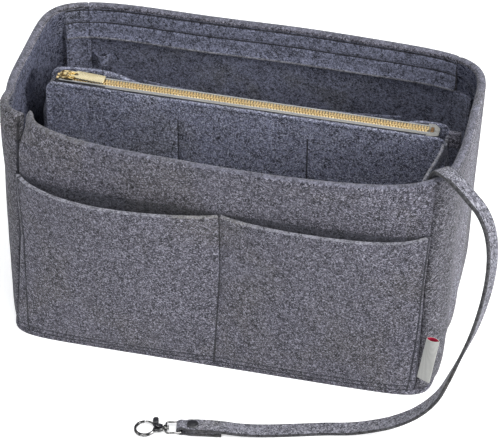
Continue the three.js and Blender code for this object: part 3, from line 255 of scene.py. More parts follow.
# Folded end, snap and clasp, along +X of a frame turned to the strap's end
END_DEGREES = 191
LOOP_START = (23.0, -149.28, 4.2)
LOOP_OVERLAP = 1.4
LOOP_SINK = 0.05
SNAP_BACK = 24.0
SNAP_REACH = 4.5
FOLD_BACK = 32.0
FOLD_HEIGHT = 3.9
FOLD_RADIUS = 2.55
UPPER_HEIGHT = 5.7
TAIL_HEIGHT = 2.0
TAIL_END_HEIGHT = 1.5
TAIL_LENGTH = 28.5
FOLD_WIDTH = 9.0
FOLD_TAPER = 7.0
CLASP_LENGTH = 34.0
WIRE = 1.5
EYE_INNER_WIDTH = 9.8
EYE_LENGTH = 9.6
COLLAR_LENGTH = 2.4
CLAW_THICKNESS = 2.8
CHEEK = 0.62
RING_RADIUS = 8.0
RING_BAND = 2.0
RING_CENTRE = CLASP_LENGTH - RING_RADIUS
RING_MIDDLE = RING_RADIUS - RING_BAND / 2
PIN_AT = (16.8, 0.8)

# Camera, from the tub's edges in the photograph
IMAGE_WIDTH = 500
FOCAL_PIXELS = 3000
CAMERA_AZIMUTH = 0.21259
CAMERA_ELEVATION = 0.69091
CAMERA_ROLL = 0.0145
CAMERA_DISTANCE = 2210.2
CAMERA_TARGET = (4.22, 6.42, 66.24)
SENSOR_WIDTH = 36.0

# Studio: colour and strength of the surroundings, and what metal mirrors at each share of height
AMBIENT = ((0.93, 0.96, 1.0), 0.5)
MIRRORED = (1.0, 0.99, 0.97)
MIRRORED_BANDS = ((0.30, 0.03), (0.50, 0.95), (0.78, 0.80), (0.92, 0.12))
LAMPS = (
    ("key", (2.0, -0.55, 1.0), (0, 0, 0.1), 1.1, 40.0),
    ("fill", (-0.7, -1.9, 1.2), (0, 0, 0.08), 1.4, 7.0),
    ("top", (0.2, -0.6, 2.2), (0, 0, 0.1), 1.6, 26.0),
)
FLOOR_REACH = 6.0
FLOOR_WHITE = (0.93, 0.93, 0.93)
FLOOR_GLOW = 0.45


def lerp(start, stop, share):
    return start + (stop - start) * share


def smooth(x):
    x = np.clip(x, 0, 1)
    return x * x * (3 - 2 * x)


def bump(x, centre, width):
    return np.exp(-(((x - centre) / width) ** 2))


# Materials


class Nodes:
    """The node tree of a material or a world, with one call for each node."""

    def __init__(self, owner, output="OutputMaterial"):
        owner.use_nodes = True
        self.owner = owner
        self.tree = owner.node_tree
        self.tree.nodes.clear()
        self.output = self.add(output)
        self.coords = self.add("TexCoord").outputs["Object"]

    def put(self, socket, value):
        """Links or sets an input; a colour is given by three shares."""
        if isinstance(value, bpy.types.NodeSocket):
            self.tree.links.new(value, socket)
        else:
            socket.default_value = (*value, 1.0) if socket.type == "RGBA" else value

    def add(self, kind, inputs=None, **settings):
        made = self.tree.nodes.new("ShaderNode" + kind)
        for key, value in settings.items():
            setattr(made, key, value)
        for key, value in (inputs or {}).items():
            self.put(made.inputs[key], value)
        return made

    def noise(self, vector, scale, detail=3.0, roughness=0.55, distortion=0.0):
        inputs = {"Vector": vector, "Scale": scale, "Detail": detail}
        inputs.update({"Roughness": roughness, "Distortion": distortion})
        return self.add("TexNoise", inputs).outputs["Fac"]

    def math(self, operation, first, second=0.0):
        return self.add("Math", {0: first, 1: second}, operation=operation).outputs[0]

    def rescale(self, value, low, high, to_low=0.0, to_high=1.0):
        inputs = {"Value": value, "From Min": low, "From Max": high}
        inputs.update({"To Min": to_low, "To Max": to_high})
        return self.add("MapRange", inputs).outputs["Result"]

    def stretched(self, angles, scale):
        """Coordinates drawn out along the turned Y axis."""
        inputs = {"Vector": self.coords, "Rotation": angles, "Scale": tuple(1 / s for s in scale)}
        return self.add("Mapping", inputs, vector_type="TEXTURE").outputs["Vector"]

    def mix(self, factor, first, second, blend="MIX"):
        inputs = {"Factor": factor, 6: first, 7: second}
        return self.add("Mix", inputs, data_type="RGBA", blend_type=blend).outputs[2]

    def surface(self, colour, roughness, height=None, bump_mm=0.5, strength=0.5, **fixed):
        inputs = {key.replace("_", " "): value for key, value in fixed.items()}
        inputs.update({"Base Color": colour, "Roughness": roughness})
        if height is not None:
            relief = {"Height": height, "Strength": strength, "Distance": bump_mm * MM}
            inputs["Normal"] = self.add("Bump", relief).outputs["Normal"]
        self.put(self.output.inputs["Surface"], self.add("BsdfPrincipled", inputs).outputs[0])
        return self.owner


def felt_material(
    name, dark, light, fibre=None, strand_share=0.5, deep=None, lit_band=None, sheen=0.15
):
    """Heather felt: blotches, clumps and, where it has a fibre colour, short strands that lie
    every way. Where deep gives two heights in metres and a share, painted shade darkens the felt
    downwards between them to that share. A lit band is a painted highlight: lightest at its Y and
    darker beyond its reach."""
    nodes = Nodes(bpy.data.materials.new(name))
    blotch = nodes.noise(nodes.coords, 13.0, 4.0, 0.6, 0.8)
    cloud = nodes.noise(nodes.coords, 110.0, 3.0, 0.7, 0.8)
    clump = nodes.noise(nodes.coords, 350.0, 3.0, 0.7, 0.6)
    speckle = nodes.noise(nodes.coords, 800.0, 2.0, 0.7, 0.2)
    tone = 0.0
    for grain, low, high, weight in (
        (cloud, 0.43, 0.57, 0.26),
        (clump, 0.455, 0.545, 0.46),
        (speckle, 0.44, 0.56, 0.28),
    ):
        share = nodes.math("MULTIPLY", nodes.rescale(grain, low, high), weight)
        tone = nodes.math("ADD", tone, share)
    colour = nodes.mix(tone, dark, light)
    colour = nodes.mix(nodes.rescale(blotch, 0.53, 0.64), colour, WARM_TINT, "MULTIPLY")
    height = nodes.math("ADD", speckle, nodes.math("MULTIPLY", clump, 1.4))
    for i, turn in enumerate(STRAND_TURNS if fibre else ()):
        run = nodes.stretched(turn, (1.0, 0.2, 1.0))
        pale = nodes.rescale(nodes.noise(run, 1050.0 + 90 * i, 1.0, 0.6, 0.8), 0.59, 0.67)
        deeper = nodes.rescale(nodes.noise(run, 760.0 + 70 * i, 1.0, 0.6, 0.7), 0.41, 0.33)
        colour = nodes.mix(nodes.math("MULTIPLY", deeper, 0.6), colour, [0.6 * c for c in dark])
        colour = nodes.mix(nodes.math("MULTIPLY", pale, strand_share), colour, fibre)
    # Painted light: shade that darkens the felt downwards and a lit upright band, multiplied into
    # the colour.
    place = nodes.add("SeparateXYZ", {0: nodes.coords}).outputs
    shades = []
    if deep:
        low, high, share = deep
        shades.append(nodes.rescale(place["Z"], low, high, share, 1.0))
    if lit_band:
        centre, reach, high, low = lit_band
        away = nodes.math("ABSOLUTE", nodes.math("SUBTRACT", place["Y"], centre))
        shades.append(nodes.rescale(away, 0.0, reach, high, low))
    for shade in shades:
        grey = nodes.add("CombineColor", {0: shade, 1: shade, 2: shade}).outputs[0]
        colour = nodes.mix(1.0, colour, grey, "MULTIPLY")
    return nodes.surface(
        colour, 0.96, height, bump_mm=0.9, strength=0.7, Specular_IOR_Level=0.8 * sheen,
        Sheen_Weight=sheen, Sheen_Roughness=0.6,
    )


def metal_material(name, colour, dull_and_painted_dark, roughness, scratch=0.25, cover=0.6):
    """Plated metal with faint brush marks and dull patches. On the slider the patches are
    painted shade and on the clasp painted dark reflections, and cover most of each.
    """
    nodes = Nodes(bpy.data.materials.new(name))
    brushed = nodes.noise(nodes.stretched((0.2, 0.1, 0.3), (1.0, 0.08, 1.0)), 1900.0, 2.0, 0.6)
    patch = nodes.noise(nodes.coords, 260.0, 4.0, 0.6, 0.5)
    tone = nodes.mix(nodes.rescale(patch, 0.45, 0.75 - 0.2 * cover, 0.0, cover), colour, dull_and_painted_dark)
    rough = nodes.rescale(patch, 0.3, 0.7, roughness * 0.75, roughness * 1.5)
    return nodes.surface(tone, rough, brushed, bump_mm=0.05, strength=scratch, Metallic=1.0)


def woven_material(name, dark, light, across, along=None):
    """Woven tape: two families of ribs at right angles."""
    nodes = Nodes(bpy.data.materials.new(name))
    ribs = []
    for direction, count in (("X", along or across), ("Y", across)):
        inputs = {"Vector": nodes.coords, "Scale": count, "Distortion": 1.2, "Detail": 2.0}
        ribs.append(nodes.add("TexWave", inputs, bands_direction=direction).outputs["Fac"])
    weave = nodes.math("MULTIPLY", nodes.math("MULTIPLY", *ribs), 0.6)
    grain = nodes.math("MULTIPLY", nodes.noise(nodes.coords, 900.0, 3.0, 0.6), 0.5)
    tone = nodes.math("ADD", weave, grain)
    colour = nodes.mix(tone, dark, light)
    return nodes.surface(colour, 0.85, tone, bump_mm=0.25, strength=0.6, Specular_IOR_Level=0.25)


WARM_TINT = (0.98, 0.95, 0.8)
WALL_DARK = (0.002, 0.002, 0.006)
INNER_LIGHT = (0.23, 0.243, 0.345)
STRAP_LIGHT = (0.262, 0.258, 0.308)
PALE_FIBRE = (0.5, 0.5, 0.56)
STRAND_TURNS = ((0.62, 0.0, 0.79), (0.55, 0.0, -0.79), (-0.65, 0.0, -0.7))
felt = felt_material("felt_grey", WALL_DARK, (0.114, 0.11, 0.144), (0.43, 0.42, 0.5), 0.6)
# End walls outside: the grey felt with a painted highlight, an upright lit band where a fold of the
# wall faces the key light.
felt_end = felt_material(
    "felt_grey_end_lit_band", WALL_DARK, (0.114, 0.11, 0.138), (0.43, 0.42, 0.48), 0.6,
    lit_band=(0.006, 0.048, 1.6, 0.84),
)
# Felt inside the tub: a bluer copy of the same felt, its colour set for the light inside the tub
# (painted light). The strap takes it too where it runs inside.
felt_inner_light_tint = felt_material("felt_inner_light_tint", (0.003, 0.004, 0.01), INNER_LIGHT, (0.4, 0.42, 0.56))
felt_pouch = felt_material(
    "felt_pouch", (0.004, 0.005, 0.012), (0.226, 0.238, 0.345), (0.52, 0.54, 0.68), 0.75
)
# Painted shade: inside of the end walls, darkening downwards into the dark gap beside the pouch,
# with no sheen so the shade stays dark.
felt_deep_shade = felt_material(
    "felt_deep_shade", (0.003, 0.004, 0.008), (0.2, 0.212, 0.3), (0.34, 0.35, 0.45),
    deep=(0.118, 0.17, 0.14), sheen=0.0,
)
# Painted shade on the walls inside the outside pockets, behind their panels.
felt_behind_shade = felt_material(
    "felt_behind_shade", (0.006, 0.006, 0.012), (0.115, 0.117, 0.15), (0.2, 0.2, 0.25)
)
# Painted shade in the sewn grooves and seams, under the hem's edge, along the pouch's dividers and
# on the shaded parts of the zip tapes.
felt_crease_shade = felt_material("felt_crease_shade", (0.006, 0.006, 0.01), (0.06, 0.06, 0.076))
# Painted highlight: the paler top of the rim, where it faces the light.
felt_rim_lit = felt_material(
    "felt_rim_lit", (0.052, 0.052, 0.064), (0.176, 0.176, 0.224), (0.36, 0.36, 0.45), 0.4
)
strap_felt = felt_material("felt_strap", (0.01, 0.01, 0.017), STRAP_LIGHT, PALE_FIBRE, 0.6)
# Painted shade on the strap's cut side faces, which face away from the light.
strap_edge_shade = felt_material("felt_strap_shaded_side", (0.008, 0.008, 0.01), (0.08, 0.079, 0.086))
# Pale cut edges: partly the fibres of the cut felt, partly painted highlight where edges face the
# light, as on the hem's lip, the pocket mouths and the strap inside the tub.
felt_lit_cut = felt_material("felt_lit_cut_edge", (0.05, 0.05, 0.062), (0.33, 0.33, 0.38), PALE_FIBRE, 0.4)
faint_thread = woven_material("thread_outside", (0.03, 0.031, 0.042), (0.105, 0.108, 0.135), 900.0)
thread = woven_material("thread_dark", (0.01, 0.011, 0.018), (0.045, 0.047, 0.065), 900.0)
tape_cloth = woven_material("zip_tape_cloth", (0.19, 0.188, 0.178), (0.45, 0.44, 0.415), 260, 330)
bead_cloth = woven_material("zip_bead_cloth", (0.23, 0.232, 0.235), (0.52, 0.52, 0.52), 420.0)
ribbon = woven_material("label_ribbon", (0.36, 0.36, 0.346), (0.47, 0.47, 0.452), 520.0)
ribbon_red = woven_material("label_ribbon_inside", (0.36, 0.01, 0.04), (0.62, 0.03, 0.09), 520.0)
gold_teeth = metal_material("zip_teeth_gold", (0.92, 0.74, 0.42), (0.76, 0.56, 0.28), 0.36)
# Painted shade on the slider: dark brown patches over most of its gold.
shaded_slider_gold = metal_material("slider_gold", (0.93, 0.76, 0.43), (0.1, 0.06, 0.022), 0.26, 0.15, 0.9)
pale_gold = metal_material(
    "slider_pale_gold", (0.985, 0.88, 0.59), (0.86, 0.7, 0.38), 0.24, 0.08, 0.35
)
stop_brown = metal_material("end_stop_brown", (0.3, 0.18, 0.09), (0.18, 0.11, 0.06), 0.42)
# Painted dark reflections: dark patches over most of the nickel, standing for the dark surroundings
# it mirrors.
chrome = metal_material("clasp_nickel", (0.43, 0.427, 0.42), (0.03, 0.03, 0.032), 0.16, cover=0.95)
gunmetal = metal_material("snap_gunmetal", (0.135, 0.136, 0.144), (0.08, 0.081, 0.087), 0.4)
board = woven_material("stiffener_board", (0.25, 0.25, 0.24), (0.34, 0.34, 0.33), 120.0)
grip = woven_material("hook_and_loop", (0.015, 0.015, 0.02), (0.06, 0.06, 0.075), 700.0)


# Meshes


def link(piece):
    bpy.context.scene.collection.objects.link(piece)
    return piece


def shown(name, mesh, sharp):
    """Object of a mesh that is smooth but for its sharp edges."""
    mesh.shade_smooth()
    mesh.set_sharp_from_angle(angle=sharp * DEGREES)
    return link(bpy.data.objects.new(name, mesh))


def make_mesh(name, points, faces, materials, face_materials=None, sharp=42):
    mesh = bpy.data.meshes.new(name)
    mesh.from_pydata((np.asarray(points, float).reshape(-1, 3) * MM).tolist(), [], faces)
    for material in materials:
        mesh.materials.append(material)
    if face_materials is not None:
        mesh.polygons.foreach_set("material_index", face_materials)
    mesh.validate()
    return shown(name, mesh, sharp)


def settle(piece, body, slot, *nodes):
    """Fixes a finished piece to its body and hides the solids that it stands for."""
    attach(piece, body)
    if nodes:
        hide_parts(*nodes)
    return piece


def solid_box(node):
    """Low and high corner of a solid in millimetres."""
    return np.array([list(corner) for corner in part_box(node)]) / MM


def arc(centre, radius, start, stop, count):
    """Points of an arc in a plane, between two angles in degrees."""
    angles = np.linspace(start, stop, count) * DEGREES
    return [(centre[0] + radius * math.cos(a), centre[1] + radius * math.sin(a)) for a in angles]


def hoop(centre, first, second, count):
    """Ring of points about a centre, from its two half axes."""
    turn = np.linspace(0, 2 * math.pi, count, endpoint=False)
    return np.asarray(centre) + np.outer(np.cos(turn), first) + np.outer(np.sin(turn), second)


def unit(vectors):
    return vectors / np.linalg.norm(vectors, axis=-1, keepdims=True)


def ring_faces(rings, size, first=0, closed_way=False):
    """Quads of a tube of rings, each a closed loop of the same size."""
    faces = []
    for i in range(rings if closed_way else rings - 1):
        row, after = first + i * size, first + (i + 1) % rings * size
        for j in range(size):
            k = (j + 1) % size
            faces.append((row + j, row + k, after + k, after + j))
    return faces


def tube_faces(rings, size, first=0):
    """Faces of a tube of rings with both ends closed."""
    last = first + (rings - 1) * size
    caps = [tuple(range(first, first + size))[::-1], tuple(range(last, last + size))]
    return ring_faces(rings, size, first) + caps


def grid_faces(rows, columns):
    return [
        (r * columns + c, r * columns + c + 1, (r + 1) * columns + c + 1, (r + 1) * columns + c)
        for r in range(rows - 1)
        for c in range(columns - 1)
    ]


def face_outwards(piece):
    """Turns the faces of a closed piece outwards."""
    work = bmesh.new()
    work.from_mesh(piece.data)
    bmesh.ops.recalc_face_normals(work, faces=work.faces)
    work.to_mesh(piece.data)
    work.free()
    return piece


def soften(piece, width, segments=3, angle=50):
    """Rounds a piece's edges by a bevel."""
    bevel = piece.modifiers.new("soft_edges", "BEVEL")
    bevel.width = width * MM
    bevel.segments = segments
    bevel.limit_method = "ANGLE"
    bevel.angle_limit = angle * DEGREES
    return piece


def sheet_piece(
    name, grid, thickness, material, lining=None, edge=0.7, edge_material=None, crease_shaded=None
):
    """Felt or ribbon from a grid of midline points, with thickness and rounded edges; faces marked
    as creases get painted shade, along sewn lines and in other shaded places."""
    grid = np.asarray(grid, float)
    materials = [material, lining or material, edge_material or material, felt_crease_shade]
    if crease_shaded is not None:
        crease_shaded = materials.index(felt_crease_shade) * np.asarray(crease_shaded, int).ravel()
    piece = make_mesh(name, grid, grid_faces(*grid.shape[:2]), materials, crease_shaded)
    solidify = piece.modifiers.new("thickness", "SOLIDIFY")
    solidify.thickness = thickness * MM
    solidify.offset = 0
    solidify.use_even_offset = True
    solidify.material_offset = 1
    solidify.material_offset_rim = 2
    return soften(piece, edge, 2, 60)


def tube_points(centres, across, up, half_widths, outline):
    """Rings along a line: outline gives shares of the half width and lengths along up."""
    half_widths = half_widths[:, None]
    lines = [centres + across * (half_widths * share) + up * lift for share, lift in outline]
    return np.stack(lines, axis=1)


def capped_tube(name, rings, material, sharp=60):
    rings = np.asarray(rings)
    faces = tube_faces(*rings.shape[:2])
    return face_outwards(make_mesh(name, rings, faces, [material], sharp=sharp))


def closed_tube(name, rings, material, sharp):
    """Tube whose last ring joins its first."""
    rings = np.asarray(rings)
    faces = ring_faces(*rings.shape[:2], closed_way=True)
    return face_outwards(make_mesh(name, rings, faces, [material], sharp=sharp))


def turned_piece(name, profile, material, segments=32):
    """Body of revolution about Z from radius and height pairs that start and end on the axis."""
    rings = [hoop((0, 0, z), (radius, 0, 0), (0, radius, 0), segments) for radius, z in profile]
    return capped_tube(name, rings, material, sharp=40)


def extruded_piece(name, outlines, bottom, top, material, edge, segments=3, angle=40):
    """Flat plate between two heights from one or more closed outlines in a plane; the first is the
    outside and the others are holes. Its edges are rounded."""
    work = bmesh.new()
    edges = []
    for outline in outlines:
        corners = [work.verts.new((x * MM, y * MM, bottom * MM)) for x, y in outline]
        edges += [work.edges.new(pair) for pair in zip(corners, corners[1:] + corners[:1])]
    bmesh.ops.triangle_fill(work, use_beauty=True, use_dissolve=False, edges=edges)
    made = bmesh.ops.extrude_face_region(work, geom=work.faces[:])
    raised = [v for v in made["geom"] if isinstance(v, bmesh.types.BMVert)]
    bmesh.ops.translate(work, verts=raised, vec=(0, 0, (top - bottom) * MM))
    bmesh.ops.recalc_face_normals(work, faces=work.faces)
    mesh = bpy.data.meshes.new(name)
    work.to_mesh(mesh)
    work.free()
    mesh.materials.append(material)
    return soften(shown(name, mesh, 35), edge, segments, angle)


def rounded_box(name, low, high, material, edge):
    (x0, y0, z0), (x1, y1, z1) = low, high
    outline = [(x0, y0), (x1, y0), (x1, y1), (x0, y1)]
    return extruded_piece(name, [outline], z0, z1, material, edge)


def joined(name, pieces):
    """One object out of several, with their modifiers worked in."""
    bpy.context.view_layer.update()
    depsgraph = bpy.context.evaluated_depsgraph_get()
    points, faces, marks, materials = [], [], [], []
    for piece in pieces:
        shape = piece.evaluated_get(depsgraph).to_mesh()
        first = len(points)
        own = list(piece.data.materials)
        materials += [material for material in own if material not in materials]
        points.extend(tuple(piece.matrix_world @ v.co / MM) for v in shape.vertices)
        for polygon in shape.polygons:
            faces.append(tuple(first + v for v in polygon.vertices))
            marks.append(materials.index(own[polygon.material_index]))
    for piece in pieces:
        bpy.data.objects.remove(piece)
    return make_mesh(name, points, faces, materials, marks, sharp=35)


def move_piece(piece, matrix):
    """Moves a piece's mesh, so that its object stays at the origin."""
    piece.data.transform(matrix)
    return piece


# Shape of the tub

outline_tables = {}


def outline_table(height):
    """Points round the tub at one height with their running length, from the left by the front."""
    key = round(height, 3)
    if key not in outline_tables:
        rise = min(max(height / INSERT_HEIGHT, 0.0), 1.0)
        tuck = FOOT_TUCK * max(0.0, 1 - height / FOOT_TUCK_HEIGHT) ** 2
        half_length = lerp(BASE_HALF_LENGTH, RIM_HALF_LENGTH, rise) - tuck
        front = lerp(BASE_FRONT_REACH, RIM_FRONT_REACH, rise**3)
        back = lerp(BASE_BACK_REACH, RIM_BACK_REACH, rise)
        turn = np.linspace(-math.pi, math.pi, OUTLINE_STEPS + 1)
        at_front = np.sin(turn) < 0
        rim_front = np.where(np.cos(turn) < 0, RIM_FRONT_LEFT_POWER, RIM_FRONT_RIGHT_POWER)
        power = lerp(BASE_POWER, np.where(at_front, rim_front, RIM_BACK_POWER), rise)
        x = half_length * np.sign(np.cos(turn)) * np.abs(np.cos(turn)) ** (2 / power)
        y = np.where(at_front, front, back)
        y = y * np.sign(np.sin(turn)) * np.abs(np.sin(turn)) ** (2 / power)
        steps = np.hypot(np.diff(x), np.diff(y))
        lengths = np.concatenate([[0], np.cumsum(steps)])
        outline_tables[key] = (x, y, lengths, half_length)
    return outline_tables[key]


def along(table, run):
    x, y, lengths, _ = table
    run = np.mod(run, lengths[-1])
    return np.stack([np.interp(run, lengths, x), np.interp(run, lengths, y)], axis=-1)


def wobble(x, y, height):
    """Slow waves of the felt, the same for every layer at a place, and none at the foot."""
    wave = 0.55 * np.sin(x / 37 + height / 61 + 0.7)
    wave += 0.40 * np.sin(x / 21 - height / 33 + y / 29)
    wave += 0.30 * np.sin(y / 17 + height / 47 + 2.1)
    return wave * min(1.0, max(0.0, height - 12) / 60)


def shell(height, run, inset):
    """Points on the tub at one height, moved inwards from its outside face."""
    table = outline_table(height)
    tangent = unit(along(table, run + FELT) - along(table, run - FELT))
    x, y = along(table, run).T
    inset = inset + wobble(x, y, height) - end_folds(x, y, height)
    level = np.full(len(x), float(height))
    return np.stack([x - tangent[:, 1] * inset, y + tangent[:, 0] * inset, level], axis=1)


def seam_run(seam, height):
    """Running length of a corner seam at one height."""
    x, _, lengths, half_length = outline_table(height)
    half = OUTLINE_STEPS // 2
    side = -1 if seam.endswith("left") else 1
    place = side * half_length * np.interp(height / INSERT_HEIGHT, (0, 0.5, 1), SEAM_SHARES[seam])
    if seam.startswith("front"):
        return np.interp(place, x[: half + 1], lengths[: half + 1])
    return np.interp(place, x[half:][::-1], lengths[half:][::-1])


def corner_swell(distance, height):
    """How far the left end bulges out at a distance from the front left seam."""
    climb = max(0.0, height - CORNER_SWELL_START) / (INSERT_HEIGHT - CORNER_SWELL_START)
    return CORNER_SWELL * climb * np.sin(math.pi * np.minimum(1, distance / CORNER_SWELL_RUN))


def run_between(seams, height, margin=FIT_GAP / 2):
    """Running lengths of a wall's two ends at one height, a margin inside its seams."""
    start, stop = (seam_run(seam, height) for seam in seams)
    if seams[0] == "back_left":
        stop += outline_table(height)[2][-1]
    return start + margin, stop - margin


def crowded_shares(length, step=4.0):
    """Shares of a length with steps that shorten towards both ends."""
    ends = np.array([0, 0.5, 1.1, 1.8, 2.7, 3.7, 5.0, 6.6, 8.5, 11.0, 14.0])
    middle = np.linspace(17.0, length - 17.0, max(2, int((length - 34.0) / step) + 1))
    return np.concatenate([ends, middle, (length - ends)[::-1]]) / length


def wall_section():
    """Points of a wall's section: height and inset with a free hem edge inside, the same without
    one, and whether the point is outside (1), on the hem inside (-1) or neither (0)."""
    radius = HEM_THICKNESS / 2
    shoulder = INSERT_HEIGHT - radius
    rows = np.append(np.linspace(FELT, HEM_EDGE - 1.8, 33), HEM_EDGE)
    hem_rows = np.linspace(HEM_EDGE, shoulder, 25)
    section = [(z, 0.0, z, 0.0, 1) for z in (*rows, *hem_rows[1:])]
    for angle in np.linspace(0, math.pi, 11)[1:-1]:
        inset = radius * (1 - math.cos(angle))
        height = shoulder + radius * math.sin(angle)
        section.append((height, inset, height, inset, 1 - inset / HEM_THICKNESS))
    for z in hem_rows[::-1][:-1]:
        flare = HEM_FLARE * smooth((HEM_EDGE + 7 - z) / 7)
        taper = lerp(FELT, HEM_THICKNESS, smooth((z - HEM_EDGE) / (shoulder - HEM_EDGE)))
        section.append((z, HEM_THICKNESS + flare, z, taper, -1))
    out = HEM_THICKNESS + HEM_FLARE
    for lift, inset, plain_lift, outside in (
        (0.5, out - 0.5, 0.8, -1),
        (0, out - 1.5, 0.6, 0),
        (0.5, FELT + FIT_GAP + HEM_FLARE, 0.4, 0),
        (5, FELT, 0.2, 0),
    ):
        section.append((HEM_EDGE + lift, inset, HEM_EDGE + plain_lift, FELT, outside))
    section += [(z, FELT, z, FELT, 0) for z in rows[::-1]]
    return section, len(rows) - 1


# Wall face marks: outside, lining, painted crease shade, painted shade behind the pockets, painted
# highlight on the hem's lip, end wall hem, painted highlight on the rim top.
OUTSIDE, LINING, CREASE_SHADE, BEHIND_SHADE, LIT_LIP, END_HEM, RIM = range(7)


def wall_pull(height):
    """How far the stitch rows pull the felt in at a height."""
    return sum(bump(height, INSERT_HEIGHT - depth, 1.2) for depth in HEM_STITCH_DEPTHS)


def end_folds(x, y, height):
    """Soft upright folds of the right end wall."""
    folds = 1.5 * np.sin(y / 9.5 + height / 190 + 0.9) + 0.6 * np.sin(y / 4.4 - height / 140 + 1.3)
    folds = folds * smooth((80 + y) / 30) * smooth((28 - y) / 34)
    return np.where(x > 140, folds, 0.0) * smooth((150 - np.abs(height - 70)) / 110)


def wall_marks(section, near, creases, hem_share, hemmed):
    """Mark of each face of a wall, an index into the wall's materials: painted shade on the stitch
    rows, under the hem's edge, in the seams and behind the pockets, and painted highlight on the
    hem's lip and the rim top.
    """
    marks = []
    for i in range(len(hem_share) - 1):
        start, stop = (away[i : i + 2].mean() for away in near)
        in_seam = start < creases[0] or stop < creases[1]
        for here, after in zip(section, section[1:] + section[:1]):
            level = (here[0] + after[0]) / 2
            side = here[-1]
            if side <= 0 and after[-1] <= 0:
                away = min(abs(level - INSERT_HEIGHT + depth) for depth in HEM_STITCH_DEPTHS)
                mark = LINING if hemmed else END_HEM
                # Painted shade on the hem's stitch rows and under its edge; painted highlight on
                # its flared lip.
                if side < 0 and away < ROW_REACH or side == 0 and HEM_EDGE - 2 < level:
                    mark = CREASE_SHADE
                elif side < 0 and level < HEM_EDGE + HEM_LIP:
                    mark = LIT_LIP
                marks.append(mark if hem_share[i] > 0.5 else LINING)
            # Painted highlight on the rim top; painted shade in the seams and behind the pockets.
            elif level > INSERT_HEIGHT - RIM_TOP:
                marks.append(RIM)
            elif in_seam and (level < POCKET_HEIGHT or min(start, stop) < SEAM_CREASE_ABOVE):
                marks.append(CREASE_SHADE)
            else:
                marks.append(BEHIND_SHADE if hemmed and level < POCKET_HEIGHT - 2 else OUTSIDE)
    return marks


def make_wall(name, seams, hemmed, curled):
    section, paired = wall_section()
    start, stop = run_between(seams, FELT)
    length = stop - start
    shares = crowded_shares(length)
    at_band = seams[0] == "back_left"
    if at_band:
        band = STRIP_WIDTH + np.array([-2.2, -1.2, -0.6, 0, 0.6, 1.2])
        shares = np.unique(np.concatenate([shares, band / length]))
    near_start, near_stop = near = (shares * length, (1 - shares) * length)
    groove = 0.0
    for seam, away in zip(seams, near):
        groove = groove + SEAM_GROOVES[seam] * np.clip(1 - away / SEAM_REACH, 0, 1) ** 2
    hem_share = np.full(len(shares), float(hemmed))
    if at_band:
        hem_share = smooth((STRIP_WIDTH + 0.6 - near_start) / 0.9)
    rings = []
    for hem_height, hem_inset, plain_height, plain_inset, outside in section:
        levels = []
        for height, inset in ((hem_height, hem_inset), (plain_height, plain_inset)):
            a, b = run_between(seams, min(height, INSERT_HEIGHT))
            moved = inset + groove * max(outside, 0.0)
            pull = wall_pull(height) * np.clip(near_start / 6, 0, 1) * np.clip(near_stop / 6, 0, 1)
            if outside > 0.5:
                moved = moved + 0.15 * pull
            elif outside < 0:
                moved = moved - 0.9 * pull * hem_share
            if curled:
                curl = RIM_CURL * smooth((height - RIM_CURL_START) / 22)
                moved = moved + curl * bump(near_start, 0, RIM_CURL_REACH)
            if at_band:
                moved = moved - corner_swell(near_stop, height)
            points = shell(height, lerp(a, b, shares), moved)
            if height > INSERT_HEIGHT - 2:
                points[:, 2] -= 0.3 * groove
            levels.append(points)
        rings.append(lerp(levels[1], levels[0], hem_share[:, None]))
    rings = np.array(rings).transpose(1, 0, 2)
    count, size = rings.shape[:2]
    faces = ring_faces(count, size)
    caps = [(i, i + 1, size - 2 - i, size - 1 - i) for i in range(paired)]
    caps.append(tuple(range(paired, size - paired)))
    faces += [cap[::-1] for cap in caps]
    faces += [tuple((count - 1) * size + corner for corner in cap) for cap in caps]
    marks = wall_marks(section, near, [SEAM_CREASE[seam] for seam in seams], hem_share, hemmed)
    marks += [OUTSIDE] * (len(faces) - len(marks))
    # Hemmed walls take the grey felt and the inside tint; end walls take the copy with a painted
    # lit band outside and the copy with painted shade downwards inside.
    outer, lining = (felt, felt_inner_light_tint) if hemmed else (felt_end, felt_deep_shade)
    materials = [outer, lining, felt_crease_shade, felt_behind_shade, felt_lit_cut, felt_inner_light_tint, felt_rim_lit]
    piece = face_outwards(make_mesh(name, rings, faces, materials, marks, sharp=65))
    return soften(piece, 0.4, 2, 70)


def two_pocket_bulge(share, middle, shares):
    left = share < middle
    local = np.where(left, share / middle, (share - middle) / (1 - middle))
    return np.sin(math.pi * np.clip(local, 0, 1)) ** 0.7 * np.where(left, shares[0], shares[1])


def pocket_face(seams, middle, gapes):
    """Function from height and shares to points on an outside pocket's midline."""

    def face(height, shares, lift=0.0):
        a, b = run_between(seams, height, POCKET_END_MARGIN)
        run = shares * (b - a)
        rise = max(0.0, (height - FELT) / (POCKET_HEIGHT - FELT)) ** POCKET_SWELL_POWER
        away = FIT_GAP + FELT / 2 + two_pocket_bulge(shares, middle, gapes) * rise
        away = away - 0.5 * sum(bump(height, h, 1.4) for h in POCKET_STITCH_HEIGHTS)
        away = away - 0.45 * bump(run, middle * (b - a), 1.6)
        for line in (POCKET_LINE, b - a - POCKET_LINE):
            away = away - 0.35 * bump(run, line, 1.3)
        return shell(height, a + run, -(away + lift))

    return face


def edge_line(height, left):
    """How far the sewn line at a pocket's end runs from that end."""
    foot, top, rise = EDGE_LINES[0 if left else 1]
    return lerp(foot, top, smooth(height / rise))


